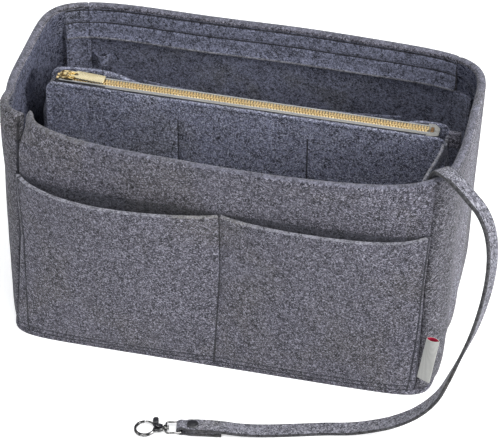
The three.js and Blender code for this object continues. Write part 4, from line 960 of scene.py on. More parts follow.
def make_pocket(name, seams, middle, gapes):
    face = pocket_face(seams, middle, gapes)
    a, b = run_between(seams, FELT, POCKET_END_MARGIN)
    length = b - a
    half = CREASE_WIDTH / 2
    lines = (POCKET_LINE, middle * length, length - POCKET_LINE)
    reaches = (half, MIDDLE_SEAM_WIDTH / 2, half)

    def places(left, right):
        """Places along the pocket that follow its sewn lines, at distances from its two ends."""
        start = [0, left - half, left + half, POCKET_STILL]
        return start + [length - POCKET_STILL, length - right - half, length - right + half, length]

    columns = crowded_shares(length, 3.2) * length
    for line in lines[::2]:
        columns = columns[np.abs(columns - line) > 0.3]
    near = []
    for line, reach in zip(lines, reaches):
        near += [line - 3 * half, line - reach, line + reach, line + 3 * half]
    columns = np.unique(np.concatenate([columns, near]))
    low_heights = [FELT + 0.1, 4.6, 5.8, 7.2, 8.6, 9.8, 11.0, 12.5]
    heights = np.concatenate([low_heights, np.linspace(16, POCKET_HEIGHT, 37)])
    grid = []
    for height in heights:
        moved = places(edge_line(height, True), edge_line(height, False))
        runs = np.interp(columns, places(POCKET_LINE, POCKET_LINE), moved)
        grid.append(face(height, runs / length))
    grid = np.array(grid)
    top = smooth((grid[..., 2] - POCKET_HEIGHT + 18) / 18)
    grid[..., 2] -= top * (0.5 + 0.5 * np.sin(grid[..., 0] / 19.0))
    level = (heights[1:] + heights[:-1]) / 2
    place = (columns[1:] + columns[:-1]) / 2
    # Painted shade along the stitch rows and sewn lines; the cut edges are pale, partly painted
    # highlight.
    on_row = np.min([np.abs(level - row) for row in POCKET_STITCH_HEIGHTS], axis=0) < half
    on_line = np.any([np.abs(place - line) < reach for line, reach in zip(lines, reaches)], axis=0)
    crease_shaded = on_row[:, None] | on_line[None, :]
    piece = sheet_piece(name, grid, FELT, felt, edge_material=felt_lit_cut, crease_shaded=crease_shaded)
    return piece, face, length


# Stitches

stitch_sets = {}


def add_stitches(group, path, normal, radius=THREAD_RADIUS):
    """Rows of short thread bars along a line, sunk in the felt at both ends."""
    path = np.asarray(path, float)
    normal = np.asarray(normal, float)
    run = np.concatenate([[0], np.cumsum(np.linalg.norm(np.diff(path, axis=0), axis=1))])

    def place(values, at):
        return np.array([np.interp(at, run, values[:, k]) for k in range(3)])

    points, faces = stitch_sets.setdefault(group, ([], []))
    for i in range(int(run[-1] / STITCH_PITCH)):
        start = (i + 0.5) * STITCH_PITCH - STITCH_LENGTH / 2
        faces.extend(tube_faces(len(STITCH_SECTIONS), THREAD_SIDES, len(points)))
        for share, lift, size in STITCH_SECTIONS:
            at = start + share * STITCH_LENGTH
            outwards = unit(place(normal, at))
            side = np.cross(unit(place(path, at + 0.2) - place(path, at - 0.2)), outwards)
            centre = place(path, at) + outwards * lift
            reach = radius * size
            points.extend(hoop(centre, reach * side, 0.75 * reach * outwards, THREAD_SIDES))


def finish_stitches(group, body, material):
    points, faces = stitch_sets[group]
    settle(make_mesh("stitches_" + group, points, faces, [material], sharp=80), body, "felt_dark")


def outwards_of(path):
    """Level unit vectors square to a line round the tub, pointing away from its middle."""
    path = np.asarray(path)
    heading = np.gradient(path, axis=0)
    side = unit(np.stack([heading[:, 1], -heading[:, 0], np.zeros(len(path))], axis=1))
    return side * np.sign((side * path)[:, :2].sum(1))[:, None]


def stitch_round(group, height, inset, sign, seams, margin):
    """Stitches along a level line of a wall; sign is 1 outside and -1 inside."""
    a, b = run_between(seams, height, margin)
    runs = np.linspace(a, b, 160)
    if seams[1] == "front_left":
        inset = inset - corner_swell(b + margin - runs, height)
    path = shell(height, runs, inset)
    add_stitches(group, path, sign * outwards_of(path))


# Pieces of the tub


FRONT_SEAMS = ("front_left", "front_right")
BACK_SEAMS = ("back_right", "back_left")
WALLS = (
    ("front_wall", FRONT_SEAMS, True, True),
    ("right_end_wall", ("front_right", "back_right"), False, False),
    ("back_wall", BACK_SEAMS, True, False),
    ("left_end_wall", ("back_left", "front_left"), False, False),
)


def make_walls():
    for name, seams, hemmed, curled in WALLS:
        settle(make_wall("felt_" + name, seams, hemmed, curled), "tub", "felt_grey", name)
        for depth in HEM_STITCH_DEPTHS:
            height = INSERT_HEIGHT - depth
            stitch_round("rim_outside", height, 0.1, 1, seams, 12.0)
            if hemmed:
                stitch_round("rim_inside", height, HEM_THICKNESS - 0.85, -1, seams, 9.0)


def make_outside_pockets():
    lift = FELT / 2
    for name, seams, middle, gapes in (
        ("front_pocket", FRONT_SEAMS, POCKET_MIDDLE_SHARE, FRONT_POCKET_GAPES),
        ("back_pocket", BACK_SEAMS, 0.5, BACK_POCKET_GAPES),
    ):
        piece, face, length = make_pocket("felt_" + name, seams, middle, gapes)
        settle(piece, "tub", "felt_grey", name)
        for height in POCKET_STITCH_HEIGHTS:
            path = face(height, np.linspace(0.01, 0.99, 160), lift)
            add_stitches("pockets", path, outwards_of(path), radius=0.42)
        for line in ("left", "middle", "right"):
            path, near = [], []
            for height in np.linspace(17, POCKET_HEIGHT - 1.5, 90):
                share = middle
                if line != "middle":
                    away = edge_line(height, line == "left") / length
                    share = away if line == "left" else 1 - away
                path.extend(face(height, np.array([share]), lift))
                near.extend(face(height, np.array([share - 0.004, share + 0.004]), lift))
            add_stitches("pockets", path, outwards_of(near)[::2])


def make_inner_pocket():
    shares = np.linspace(0, 1, 64)
    grid = []
    for height in np.linspace(LINING_TOP + 0.2, INNER_POCKET_HEIGHT, 30):
        a, b = run_between(BACK_SEAMS, height, INNER_POCKET_MARGIN)
        rise = ((height - LINING_TOP) / (INNER_POCKET_HEIGHT - LINING_TOP)) ** POCKET_SWELL_POWER
        gape = INNER_POCKET_GAPE * np.sin(math.pi * shares) ** 0.7 * rise
        inset = FELT + FIT_GAP + gape + INNER_POCKET_FELT / 2
        grid.append(shell(height, lerp(a, b, shares), inset))
    piece = sheet_piece("felt_inner_pocket", grid, INNER_POCKET_FELT, felt_inner_light_tint, edge=0.5)
    settle(piece, "tub", "felt_grey", "inner_back_pocket")


def make_seam_strips():
    """Felt strips over the corner seams."""
    heights = np.linspace(LINING_TOP + 0.2, HEM_EDGE - FIT_GAP, 40)
    middle = FELT + 0.8 + STRIP_FELT / 2
    for seam, before in STRIP_SHARES.items():
        starts = [seam_run(seam, height) - STRIP_WIDTH * before for height in heights]
        across = np.linspace(0, STRIP_WIDTH, 12)
        grid = [shell(height, start + across, middle) for height, start in zip(heights, starts)]
        piece = sheet_piece(f"felt_{seam}_seam_strip", grid, STRIP_FELT, felt_inner_light_tint, edge=0.5)
        settle(piece, "tub", "felt_dark", seam + "_seam_strip")
        for edge in (2.5, STRIP_WIDTH - 2.5):
            runs = [np.array([start + edge]) for start in starts]
            path = np.concatenate([shell(z, run, middle + 1) for z, run in zip(heights, runs)])
            add_stitches("strips", path, unit(path * (-1, -1, 0)))


def make_pen_loop():
    """Small felt bridge on the back wall, flat enough for the clip of a pen."""
    half, foot, rise, cloth = PEN_HALF, PEN_FOOT, PEN_RISE, PEN_CLOTH
    bottom, height = PEN_BOTTOM, PEN_HEIGHT
    centre = PEN_SHARE * RIM_HALF_LENGTH
    x, _, lengths, _ = outline_table(bottom + height)
    back = slice(None, OUTLINE_STEPS // 2 - 1, -1)
    runs = np.interp([centre - half - foot, centre + half + foot], x[back], lengths[back])
    left, right = shell(bottom + height, runs, FELT + 0.1)
    chord = unit(right - left)
    inwards = np.array([chord[1], -chord[0], 0.0])
    seat = lerp(left, right, 0.5) * (1, 1, 0)
    angles = np.linspace(math.pi - 0.1, 0.1, 22)
    bow = (half + cloth / 2) * np.cos(angles)
    u = np.concatenate([[-half - foot, -half - 0.6], bow, [half + 0.6, half + foot]])
    v = cloth / 2 + np.concatenate([[0, 0], (rise + cloth * 0.3) * np.sin(angles), [0, 0]])
    line = seat + np.outer(u, chord) + np.outer(v, inwards)
    grid = [line + (0, 0, bottom + z) for z in np.linspace(0, height, 9)]
    piece = sheet_piece("felt_pen_loop", grid, cloth, felt_inner_light_tint, edge=0.4)
    settle(piece, "tub", "felt_dark", "pen_loop")


def base_outline(grow_x, grow_y, count=220):
    table = outline_table(FELT)
    points = along(table, np.linspace(0, table[2][-1], count, endpoint=False))
    half_length = np.abs(table[0]).max()
    reach = np.where(points[:, 1] < 0, -table[1].min(), table[1].max())
    return points * np.stack([np.full(count, 1 + grow_x / half_length), 1 + grow_y / reach], axis=1)


def make_base():
    shrink = -(FELT + 1)
    for name, grow, bottom, top, material, slot in (
        ("base_outer", (0, FELT + FIT_GAP), 0, FELT, felt, "felt_dark"),
        ("base_lining", (shrink, shrink), LINING_BOTTOM, LINING_TOP, felt_inner_light_tint, "felt_grey"),
    ):
        plan = base_outline(*grow)
        piece = extruded_piece("felt_" + name, [plan], bottom, top, material, 0.8, 2, 60)
        settle(piece, "tub", slot, name)


def make_label():
    """Ribbon folded in two and sewn in the corner seam, a little open at its upper end."""
    (x, y, z0), _ = solid_box("side_label")
    turn = LABEL_TURN * DEGREES
    foot = np.array([x - 0.2, y + 0.4, z0 + LABEL_LIFT])
    heading = np.array([math.cos(turn), math.sin(turn), 0])
    side = np.array([-heading[1], heading[0], 0])
    fold = arc((LABEL_REACH, 0), LABEL_HALF, -90, 90, 7)[1:-1]
    grid = []
    for z in np.linspace(0, LABEL_HEIGHT, 24):
        open_half = lerp(0.8, LABEL_GAPE, smooth((z - 16) / 23))
        shares = np.linspace(0, 1, 12)
        halves = lerp(LABEL_HALF, open_half, np.abs(np.sin(math.pi * shares)) ** 0.8)
        leaf = list(zip(shares * LABEL_REACH, halves))
        line = [(u, -v) for u, v in leaf] + fold + leaf[::-1]
        u, v = np.array(line).T[:, :, None]
        lean = LABEL_LEAN * z / LABEL_HEIGHT
        drop = LABEL_SLANT * u / LABEL_REACH * (1 - z / LABEL_HEIGHT)
        grid.append(foot + heading * (u + lean) + side * v + (z - drop) * (0, 0, 1))
    piece = sheet_piece("ribbon_label", grid, LABEL_CLOTH, ribbon, ribbon_red, edge=0.12)
    settle(piece, "tub", "label_cloth", "side_label")


# Pieces of the pouch


def pouch_edge(x, upper):
    """Height of the pouch's rounded outline at each X."""
    radius = POUCH_TOP_RADIUS if upper else POUCH_RADIUS
    inside = np.maximum(np.maximum(POUCH_LEFT + radius - x, x - POUCH_RIGHT + radius), 0)
    drop = radius - np.sqrt(np.maximum(radius**2 - inside**2, 0))
    return POUCH_TOP - drop if upper else POUCH_BOTTOM + drop


def pouch_columns():
    ends = np.array([0, 0.25, 0.9, 1.9, 3.2, 4.8, 6.8, 9.2, 12.0])
    middle = np.linspace(POUCH_LEFT + 15, POUCH_RIGHT - 15, 84)
    near = np.concatenate([[d - 1.8, d - 0.6, d + 0.6, d + 1.8] for d in POUCH_DIVIDERS])
    columns = np.concatenate([POUCH_LEFT + ends, middle, near, POUCH_RIGHT - ends])
    return np.unique(np.round(columns, 3))


def pouch_swell(x, z):
    """How far the front panel stands off its plane: soft swells and sewn grooves."""
    swell = 0.5 * np.sin(x / 31 + z / 47) + 0.35 * np.sin(x / 17 - z / 23 + 1.0)
    edge = np.minimum(np.minimum(x - POUCH_LEFT, POUCH_RIGHT - x), z - POUCH_BOTTOM)
    swell = swell * smooth(edge / 25) - 0.5 * bump(edge, 4.0, 1.3)
    below = smooth((POUCH_TOP - DIVIDER_DROP - z) / 4)
    for divider in POUCH_DIVIDERS:
        swell = swell - 0.8 * bump(x, divider, 1.8) * below
    return swell


def back_dip(x):
    """How far the pouch's back edge sinks behind the chain between its ends."""
    return BACK_DIP * smooth((x - POUCH_LEFT - 40) / 36) * smooth((POUCH_RIGHT - 18 - x) / 24)


def make_pouch_panel(name, plane, side, node):
    """A felt side of the pouch, whose top edge lies against the zip tape."""
    columns = pouch_columns()
    top, bottom = pouch_edge(columns, True) - PANEL_DROP, pouch_edge(columns, False)
    if side > 0:
        top = top - back_dip(columns) + BACK_HUMP * bump(columns, BACK_HUMP_X, 24.0)
    middle = plane - side * POUCH_FELT / 2
    grid = []
    for share in np.linspace(0, 1, 56) ** 0.8:
        z = lerp(bottom, top, share)
        swell = pouch_swell(columns, z) if side < 0 else 0.6 * pouch_swell(-columns, z)
        y = middle + side * np.clip(swell, -SWELL_LIMIT, SWELL_LIMIT) * smooth((top - z + 2) / 8)
        spread = LEFT_SPREAD * smooth((POUCH_LEFT + 30 - columns) / 30)
        spread = spread * smooth((z - POUCH_BOTTOM) / 60)
        grid.append(np.stack([columns - spread, y, z], axis=1))
    grid = np.array(grid)
    place = (columns[1:] + columns[:-1]) / 2
    # Painted shade along the front panel's divider seams, below their drop.
    on_line = np.min([np.abs(place - line) for line in POUCH_DIVIDERS], axis=0) < 0.5
    low_enough = grid[1:, :, 2].mean(axis=1) < POUCH_TOP - DIVIDER_DROP
    crease_shaded = on_line[None, :] & low_enough[:, None] & (side < 0)
    piece = sheet_piece(name, grid, POUCH_FELT, felt_pouch, edge=0.9, crease_shaded=crease_shaded)
    settle(piece, "pouch", "felt_grey", node)


def pouch_stitches():
    """Rows along the pouch's upper edges, and upright rows at its ends and dividers."""

    def row(x, y, z, facing):
        path = np.stack(np.broadcast_arrays(x, y, z), axis=1)
        add_stitches("pouch", path, np.tile([0.0, facing, 0.0], (len(path), 1)))

    xs = np.linspace(POUCH_LEFT + POUCH_RADIUS, POUCH_RIGHT - POUCH_RADIUS, 200)
    z = pouch_edge(xs, True) - POUCH_STITCH_DEPTH
    row(xs, POUCH_FRONT - 0.02, z, -1.0)
    row(xs, POUCH_BACK + 0.02, z - back_dip(xs) - 0.5, 1.0)
    for x in (*POUCH_DIVIDERS, POUCH_LEFT + POUCH_STITCH_SIDE, POUCH_RIGHT - POUCH_STITCH_SIDE):
        upper = POUCH_TOP - (DIVIDER_DROP if x in POUCH_DIVIDERS else 12)
        zs = np.linspace(POUCH_BOTTOM + 12, upper, 120)
        row(x, POUCH_FRONT - np.clip(pouch_swell(x, zs), -SWELL_LIMIT, SWELL_LIMIT), zs, -1.0)


def make_gusset():
    """Strip of felt round both ends and the bottom of the pouch."""
    top = CHAIN_MIDDLE - 0.4 - POUCH_TOP_RADIUS - FIT_GAP
    half = POUCH_FELT / 2
    low, turn = POUCH_BOTTOM + POUCH_RADIUS, POUCH_RADIUS - half
    left, right = POUCH_LEFT + POUCH_RADIUS, POUCH_RIGHT - POUCH_RADIUS
    line = [(POUCH_LEFT + half, z) for z in np.linspace(top, low, 36)]
    line += arc((left, low), turn, 180, 270, 10)[1:]
    line += [(x, POUCH_BOTTOM + half) for x in np.linspace(left, right, 60)[1:]]
    line += arc((right, low), turn, 270, 360, 10)[1:]
    line += [(POUCH_RIGHT - half, z) for z in np.linspace(low, top, 36)[1:]]
    x, z = np.array(line).T
    grid = []
    for share in np.linspace(0, 1, 13):
        y = lerp(POUCH_FRONT + POUCH_FELT + 0.05, POUCH_BACK - POUCH_FELT - 0.05, share)
        swell = math.sin(math.pi * share) * np.where(x < 0, 5.0, 2.0) * (np.abs(x) > 128)
        out = swell * smooth((top - z) / 26)
        out = out + LEFT_SPREAD * smooth((z - POUCH_BOTTOM) / 60) * (x < 0)
        grid.append(np.stack([x + np.copysign(out, x), np.full(len(x), y), z], axis=1))
    # Pale edges: the cut felt with a painted highlight.
    piece = sheet_piece("felt_gusset", grid, POUCH_FELT, felt_pouch, None, 0.5, felt_lit_cut)
    settle(piece, "pouch", "felt_dark", "pouch_gusset")


def make_slip_pocket():
    low, high = solid_box("pouch_inner_pocket")
    y = (low[1] + high[1]) / 2
    columns = np.linspace(low[0], high[0], 40)
    grid = [[(x, y, z) for x in columns] for z in np.linspace(low[2], high[2], 20)]
    piece = sheet_piece("felt_pouch_slip_pocket", grid, SLIP_POCKET_FELT, felt_inner_light_tint, edge=0.3)
    settle(piece, "pouch", "felt_dark", "pouch_inner_pocket")


def make_end_tab():
    low, high = solid_box("pouch_end_tab")
    middle = (low[1] + high[1]) / 2
    half, bend = TAB_FELT / 2, high[0] - TAB_FELT
    leaf = np.linspace(low[0], bend, 8)
    line = [(x, -half) for x in leaf] + arc((bend, 0), half, -90, 90, 9)[1:-1]
    line += [(x, half) for x in leaf[::-1]]
    grid = [[(x, middle + y, z) for x, y in line] for z in np.linspace(low[2], high[2], 9)]
    piece = sheet_piece("felt_end_tab", grid, TAB_FELT - 0.05, felt, edge=0.4)
    settle(piece, "pouch", "felt_grey", "pouch_end_tab")


# Zip


def make_tapes():
    """Woven tapes, each with a bead beside the teeth. Painted shade darkens the faces left of the
    slider's shade line, under the slider and its pull, the front tape's outer edge and the back
    tape's outer part."""
    for name, side in (("zip_tape_front", -1), ("zip_tape_back", 1)):
        tip = np.linspace(CHAIN_RIGHT + 1, CHAIN_RIGHT + TAPE_TIP, 14)
        xs = np.append(np.linspace(solid_box(name)[0][0], CHAIN_RIGHT, 140), tip)
        narrow = np.sqrt(1 - np.clip((xs - CHAIN_RIGHT - 1) / TAPE_TIP, 0, 1) ** 2)
        past = smooth((xs - CHAIN_RIGHT - 1) / 4)
        inner = POUCH_Y + side * lerp(TAPE_INNER, 0.1, past)
        outer = POUCH_Y + side * (POUCH_THICKNESS / 2 - POUCH_FELT - 0.2) * narrow
        grid = []
        for share in np.linspace(0, 1, 9):
            rise = lerp(-CHAIN_THICKNESS / 2 - 0.5, 0.3, smooth(share / 0.34))
            wave = 0.2 * math.sin(math.pi * share) * np.sin(xs / 11.0)
            z = CHAIN_MIDDLE + lerp(rise, 0.3, past) + wave
            if side > 0:
                z = z - back_dip(xs) * share**2
            z = z - 3.0 * smooth((xs - CHAIN_RIGHT - 2) / 10)
            z = z - 2.4 * share * smooth((SLIDER_SHADE - xs) / 8)
            grid.append(np.stack([xs, lerp(inner, outer, share), z], axis=1))
        shaded = np.tile(xs[1:] < SLIDER_SHADE, (8, 1))
        shaded[-1 if side < 0 else slice(3, None)] |= xs[1:] < CHAIN_RIGHT
        tape = sheet_piece("woven_" + name, grid, TAPE_CLOTH, tape_cloth, edge=0.15, crease_shaded=shaded)
        settle(tape, "pouch", "zip_tape", name)
        y, z = POUCH_Y + side * (CHAIN_HALF_WIDTH + 0.75), CHAIN_MIDDLE + 0.65
        beads = np.linspace(CHAIN_LEFT, CHAIN_RIGHT, 160)
        rings = [hoop((x, y, z), (0, 0.62, 0), (0, 0, 0.55), 10) for x in beads]
        settle(capped_tube(name + "_bead", rings, bead_cloth), "pouch", "zip_tape")


def tooth_rings(side):
    """Sections of one tooth from its clamp on the tape to its nose, about the chain's middle."""
    turn = np.linspace(0, 2 * math.pi, TOOTH_SIDES, endpoint=False) + math.pi / TOOTH_SIDES
    waves = (np.cos(turn), np.sin(turn))
    across, lift = (np.sign(wave) * np.abs(wave) ** 0.55 / 2 for wave in waves)
    return np.array(
        [
            np.stack([across * width, np.full(TOOTH_SIDES, side * out), lift * height], axis=1)
            for out, width, height in TOOTH_SECTIONS
        ]
    )


def make_teeth():
    count = int((CHAIN_RIGHT - CHAIN_LEFT) / TOOTH_PITCH) - 1
    for name, side, shift in (("zip_teeth_front", -1, 0.0), ("zip_teeth_back", 1, TOOTH_PITCH / 2)):
        tooth = tooth_rings(side).reshape(-1, 3)
        points, faces = [], []
        for i in range(count):
            faces.extend(tube_faces(len(TOOTH_SECTIONS), TOOTH_SIDES, len(points)))
            x = CHAIN_LEFT + TOOTH_PITCH * (i + 0.75) + shift
            points.extend(tooth + (x, POUCH_Y, CHAIN_MIDDLE))
        piece = face_outwards(make_mesh("metal_" + name, points, faces, [gold_teeth], sharp=50))
        settle(piece, "pouch", "zip_metal", name)


def make_stops():
    for node, material, slot_name in (
        ("zip_end_stop", stop_brown, "end_stop_metal"),
        ("zip_top_stop_front", gold_teeth, "zip_metal"),
        ("zip_top_stop_back", gold_teeth, "zip_metal"),
    ):
        piece = rounded_box("metal_" + node, *solid_box(node), material, 0.6)
        settle(piece, "pouch", slot_name, node)


def slider_plan():
    half, nose, corner = SLIDER_WIDTH / 2, 3.0, 1.2
    plan = arc((SLIDER_LENGTH - corner, -half + corner), corner, -90, 0, 5)
    plan += arc((SLIDER_LENGTH - corner, half - corner), corner, 0, 90, 5)
    plan += arc((nose, half - nose), nose, 90, 180, 9)
    return plan + arc((nose, -half + nose), nose, 180, 270, 9)


def slider_crown():
    """Bridge on the slider that holds the pull."""
    path = [(-CROWN_HALF + 0.75, PLATE_TOP - 0.6), (-CROWN_HALF + 0.75, PLATE_TOP + 1.2)]
    path += arc((-CROWN_HALF + 2.1, PLATE_TOP + 1.5), 1.35, 180, 90, 6)
    path += [(-x, z) for x, z in reversed(path)]
    rings = []
    for i, (x, z) in enumerate(path):
        ahead, behind = path[min(i + 1, len(path) - 1)], path[max(i - 1, 0)]
        heading = unit(np.array([ahead[0] - behind[0], 0, ahead[1] - behind[1]]))
        up = np.array([-heading[2], 0, heading[0]])
        wide = lerp(0.8, CROWN_WIRE, abs(x) / CROWN_HALF)
        rings.append(hoop((x + SLIDER_LENGTH / 2, 0, z), CROWN_WIRE * up, (0, wide, 0), 12))
    return capped_tube("crown", rings, shaded_slider_gold)


def make_slider():
    place = Matrix.Translation(Vector((SLIDER_LEFT, POUCH_Y, 0)) * MM)
    under_top = CHAIN_MIDDLE - CHAIN_THICKNESS / 2 - FIT_GAP
    for node, top, flange_low, flange_high in (
        ("slider_top_plate", PLATE_TOP, -PLATE - 0.9, -PLATE + 0.5),
        ("slider_bottom_plate", under_top, -0.5, 0.9),
    ):
        parts = [extruded_piece("plate", [slider_plan()], top - PLATE, top, shaded_slider_gold, 0.35)]
        for side in (-1, 1):
            away = side * (SLIDER_WIDTH / 2 - 0.5)
            low, high = (3.0, away - 0.45, top + flange_low), (10.0, away + 0.45, top + flange_high)
            parts.append(rounded_box("flange", low, high, shaded_slider_gold, 0.3))
        if node == "slider_top_plate":
            parts.append(slider_crown())
        piece = move_piece(joined("metal_" + node, parts), place)
        settle(piece, "zip_slider", "slider_metal", node)


def make_pull():
    half, neck, corner = 4.3, 2.8, 1.2
    start, end = -0.7, 26.3
    side = [(start, neck - 0.5), (start + 0.5, neck), (start + 5.0, neck)]
    side += [(start + 6.4, half - 0.3), (start + 7.6, half)]
    side += arc((end - corner, half - corner), corner, 90, 0, 6)
    plan = [(x, -y) for x, y in side] + side[::-1]
    hole = arc((start + 2.4, 0), 1.35, 90, 270, 9) + arc((start + 6.2, 0), 1.35, -90, 90, 9)
    tab = extruded_piece("tab", [plan, hole], -0.6, 0.6, pale_gold, 0.3)
    place = Matrix.Translation(Vector(PULL_PIVOT) * MM) @ Matrix.Rotation(PULL_TILT, 4, "Y")
    piece = move_piece(joined("metal_pull_tab", [tab]), place)
    settle(piece, "zip_pull", "slider_metal", "pull_tab")


# Lanyard


def catmull(points, count):
    """Evenly numbered points of a centripetal Catmull-Rom curve."""
    points = np.asarray(points, float)
    padded = np.vstack([2 * points[0] - points[1], points, 2 * points[-1] - points[-2]])
    spans = len(points) - 1
    out = []
    for t in np.linspace(0, spans, count):
        i = min(int(t), spans - 1)
        row = list(padded[i : i + 4])
        steps = [max(np.linalg.norm(b - a), 1e-9) ** 0.5 for a, b in zip(row, row[1:])]
        knots = np.concatenate([[0.0], np.cumsum(steps)])
        at = lerp(knots[1], knots[2], t - i)
        for reach, low in ((1, 0), (2, 0), (1, 1)):
            spread = []
            for j, (a, b) in enumerate(zip(row, row[1:])):
                start, stop = knots[j + low], knots[j + low + reach]
                spread.append((stop - at) / (stop - start) * a + (at - start) / (stop - start) * b)
            row = spread
        out.append(row[0])
    return np.array(out)


def strap_outline(half_felt):
    """Rounded flat section: shares of the half width, and lifts."""
    edge = 0.055
    half = [(1.0, -0.35), (1.0, 0.35), (1 - edge, 0.85)]
    half += [(share, 1.0) for share in np.linspace(0.86, -0.86, 9)] + [(-1 + edge, 0.85)]
    return [(sign * share, sign * lift * half_felt) for sign in (1, -1) for share, lift in half]


def flat_frames(centres, widths):
    """Directions across and square to a flat strip along a line."""
    heading = unit(np.gradient(centres, axis=0))
    across = unit(widths - heading * (widths * heading).sum(1)[:, None])
    return across, np.cross(heading, across)


def darken_edges(piece, size, inside=0):
    """Paints shade on the strap's two cut side faces, wider along its hanging run; its first rings,
    which are inside the tub, take the inside felt's tint with pale edges, partly painted highlight.
    The edges are sets of places in the strap's outline."""
    for material in (strap_edge_shade, felt_inner_light_tint, felt_lit_cut):
        piece.data.materials.append(material)
    dark, inner, cut = 1, 2, 3
    for polygon in piece.data.polygons:
        if polygon.loop_total != 4:
            continue
        ring = max(polygon.vertices) // size
        right, left = {25, 0, 1, 2}, {12, 13, 14, 15}
        if ring >= inside:
            right, left = right | {3, 24}, left | {11, 16}
        if inside and STRAP_HANGS[0] < ring < STRAP_HANGS[1]:
            left = left | {10, 17}
        corners = {vertex % size for vertex in polygon.vertices}
        at_edge = corners <= right or corners <= left
        if ring < inside:
            polygon.material_index = cut if at_edge else inner
        elif at_edge:
            polygon.material_index = dark


def make_strap():
    route = np.array(STRAP_ROUTE, float)
    centres = catmull(route[:, :3], STRAP_STEPS)
    share = np.linspace(0, len(route) - 1, STRAP_STEPS)
    heading, lean = (np.interp(share, range(len(route)), route[:, k]) * DEGREES for k in (3, 4))
    widths = np.stack(
        [np.cos(heading) * np.cos(lean), np.sin(heading) * np.cos(lean), np.sin(lean)], axis=1
    )
    half_widths = np.full(STRAP_STEPS, STRAP_WIDTH / 2)
    frames = flat_frames(centres, widths)
    rings = tube_points(centres, *frames, half_widths, strap_outline(STRAP_FELT / 2))
    piece = capped_tube("felt_lanyard_strap", rings, strap_felt)
    darken_edges(piece, len(rings[0]), STRAP_INSIDE)
    settle(piece, "pouch", "felt_grey", "lanyard_strap")
    length = np.linalg.norm(np.diff(centres, axis=0), axis=1).sum()
    return piece, centres, length


END_PLACE = Matrix.Translation(
    Vector((LOOP_START[0], LOOP_START[1], 0)) * MM
) @ Matrix.Rotation(END_DEGREES * DEGREES, 4, "Z")
CLASP_DIP = math.asin((FOLD_HEIGHT - CLAW_THICKNESS / 2 - 0.05) / CLASP_LENGTH)
CLASP_PLACE = (
    END_PLACE
    @ Matrix.Translation(Vector((FOLD_BACK, 0, FOLD_HEIGHT)) * MM)
    @ Matrix.Rotation(math.pi, 4, "X")
    @ Matrix.Rotation(-CLASP_DIP, 4, "Y")
)


def make_end_loop():
    controls = [
        (-LOOP_OVERLAP, LOOP_START[2] - LOOP_SINK),
        (FOLD_TAPER, lerp(LOOP_START[2], UPPER_HEIGHT, 0.62)),
        (SNAP_BACK - SNAP_REACH, UPPER_HEIGHT),
        (SNAP_BACK + SNAP_REACH, UPPER_HEIGHT),
        *arc((FOLD_BACK, FOLD_HEIGHT), FOLD_RADIUS, 90, -90, 6),
        (SNAP_BACK + SNAP_REACH, TAIL_HEIGHT),
        (SNAP_BACK - SNAP_REACH, TAIL_HEIGHT),
        (FOLD_BACK - TAIL_LENGTH, TAIL_END_HEIGHT),
    ]
    line = catmull([(x, 0, z) for x, z in controls], 150)
    frames = flat_frames(line, np.tile([0.0, 1.0, 0.0], (150, 1)))
    near = np.clip(1 - (FOLD_BACK - line[:, 0]) / FOLD_TAPER, 0, 1)
    half_widths = lerp(STRAP_WIDTH, FOLD_WIDTH, smooth(near)) / 2
    rings = tube_points(line, *frames, half_widths, strap_outline(STRAP_FELT / 2))
    piece = capped_tube("felt_lanyard_fold", rings, strap_felt)
    darken_edges(piece, len(rings[0]))
    return settle(move_piece(piece, END_PLACE), "pouch", "felt_grey", "lanyard_end_loop")


def make_snap():
    """Cap of the snap with a rolled rim, and its counterpart under the tail."""
    foot = UPPER_HEIGHT + STRAP_FELT / 2 + 0.05
    low = TAIL_HEIGHT - STRAP_FELT / 2 - 0.12
    rim = [(0.0, 0.0), (3.9, 0.0), (4.15, 0.2), (4.15, 0.5), (3.9, 0.85)]
    rim += [(3.4, 1.05), (2.9, 1.0), (2.2, 1.2), (1.1, 1.4), (0.0, 1.45)]
    base = [(0.0, -0.5), (3.9, -0.5), (4.4, -0.3), (4.4, 0.0), (0.0, 0.0)]
    pieces = []
    for node, profile, height, sides in (("snap_cap", rim, foot, 40), ("snap_post", base, low, 32)):
        profile = [(radius, height + z) for radius, z in profile]
        piece = turned_piece("metal_" + node, profile, gunmetal, sides)
        move_piece(piece, END_PLACE @ Matrix.Translation(Vector((SNAP_BACK, 0, 0)) * MM))
        pieces.append(settle(piece, "pouch", "dark_metal", node))
    return pieces


def wire_ring(name, path, radius, material, section=12):
    """Closed ring of round wire along a flat path in the clasp's plane."""
    path = np.array([(x, y, 0.0) for x, y in path])
    heading = unit(np.roll(path, -1, axis=0) - np.roll(path, 1, axis=0))
    rings = []
    for centre, (x, y, _) in zip(path, heading):
        rings.append(hoop(centre, (-radius * y, radius * x, 0), (0, 0, radius), section))
    return closed_tube(name, rings, material, 80)


def make_clasp_eye():
    half, bend = EYE_INNER_WIDTH / 2 + WIRE / 2, 1.9
    right = WIRE + EYE_LENGTH
    path = arc((bend, half - bend), bend, 90, 180, 7) + arc((bend, -half + bend), bend, 180, 270, 7)
    path += arc((right - bend, -half + bend), bend, 270, 360, 7)
    path += arc((right - bend, half - bend), bend, 0, 90, 7)
    wire = wire_ring("eye_wire", path, WIRE / 2, chrome)
    start = WIRE / 2 + EYE_LENGTH
    collar = [(-0.1, 1.35), (-0.1, 1.9), (0.3, 2.25), (1.1, 2.05), (1.9, 2.25)]
    collar += [(COLLAR_LENGTH, 1.9), (COLLAR_LENGTH, 1.35)]
    rings = [hoop((start + x, 0, 0), (0, radius, 0), (0, 0, radius), 24) for x, radius in collar]
    sleeve = closed_tube("sleeve", rings, chrome, 40)
    piece = move_piece(joined("metal_clasp_eye", [wire, sleeve]), CLASP_PLACE)
    return settle(piece, "lanyard_eye", "clasp_metal", "clasp_eye")


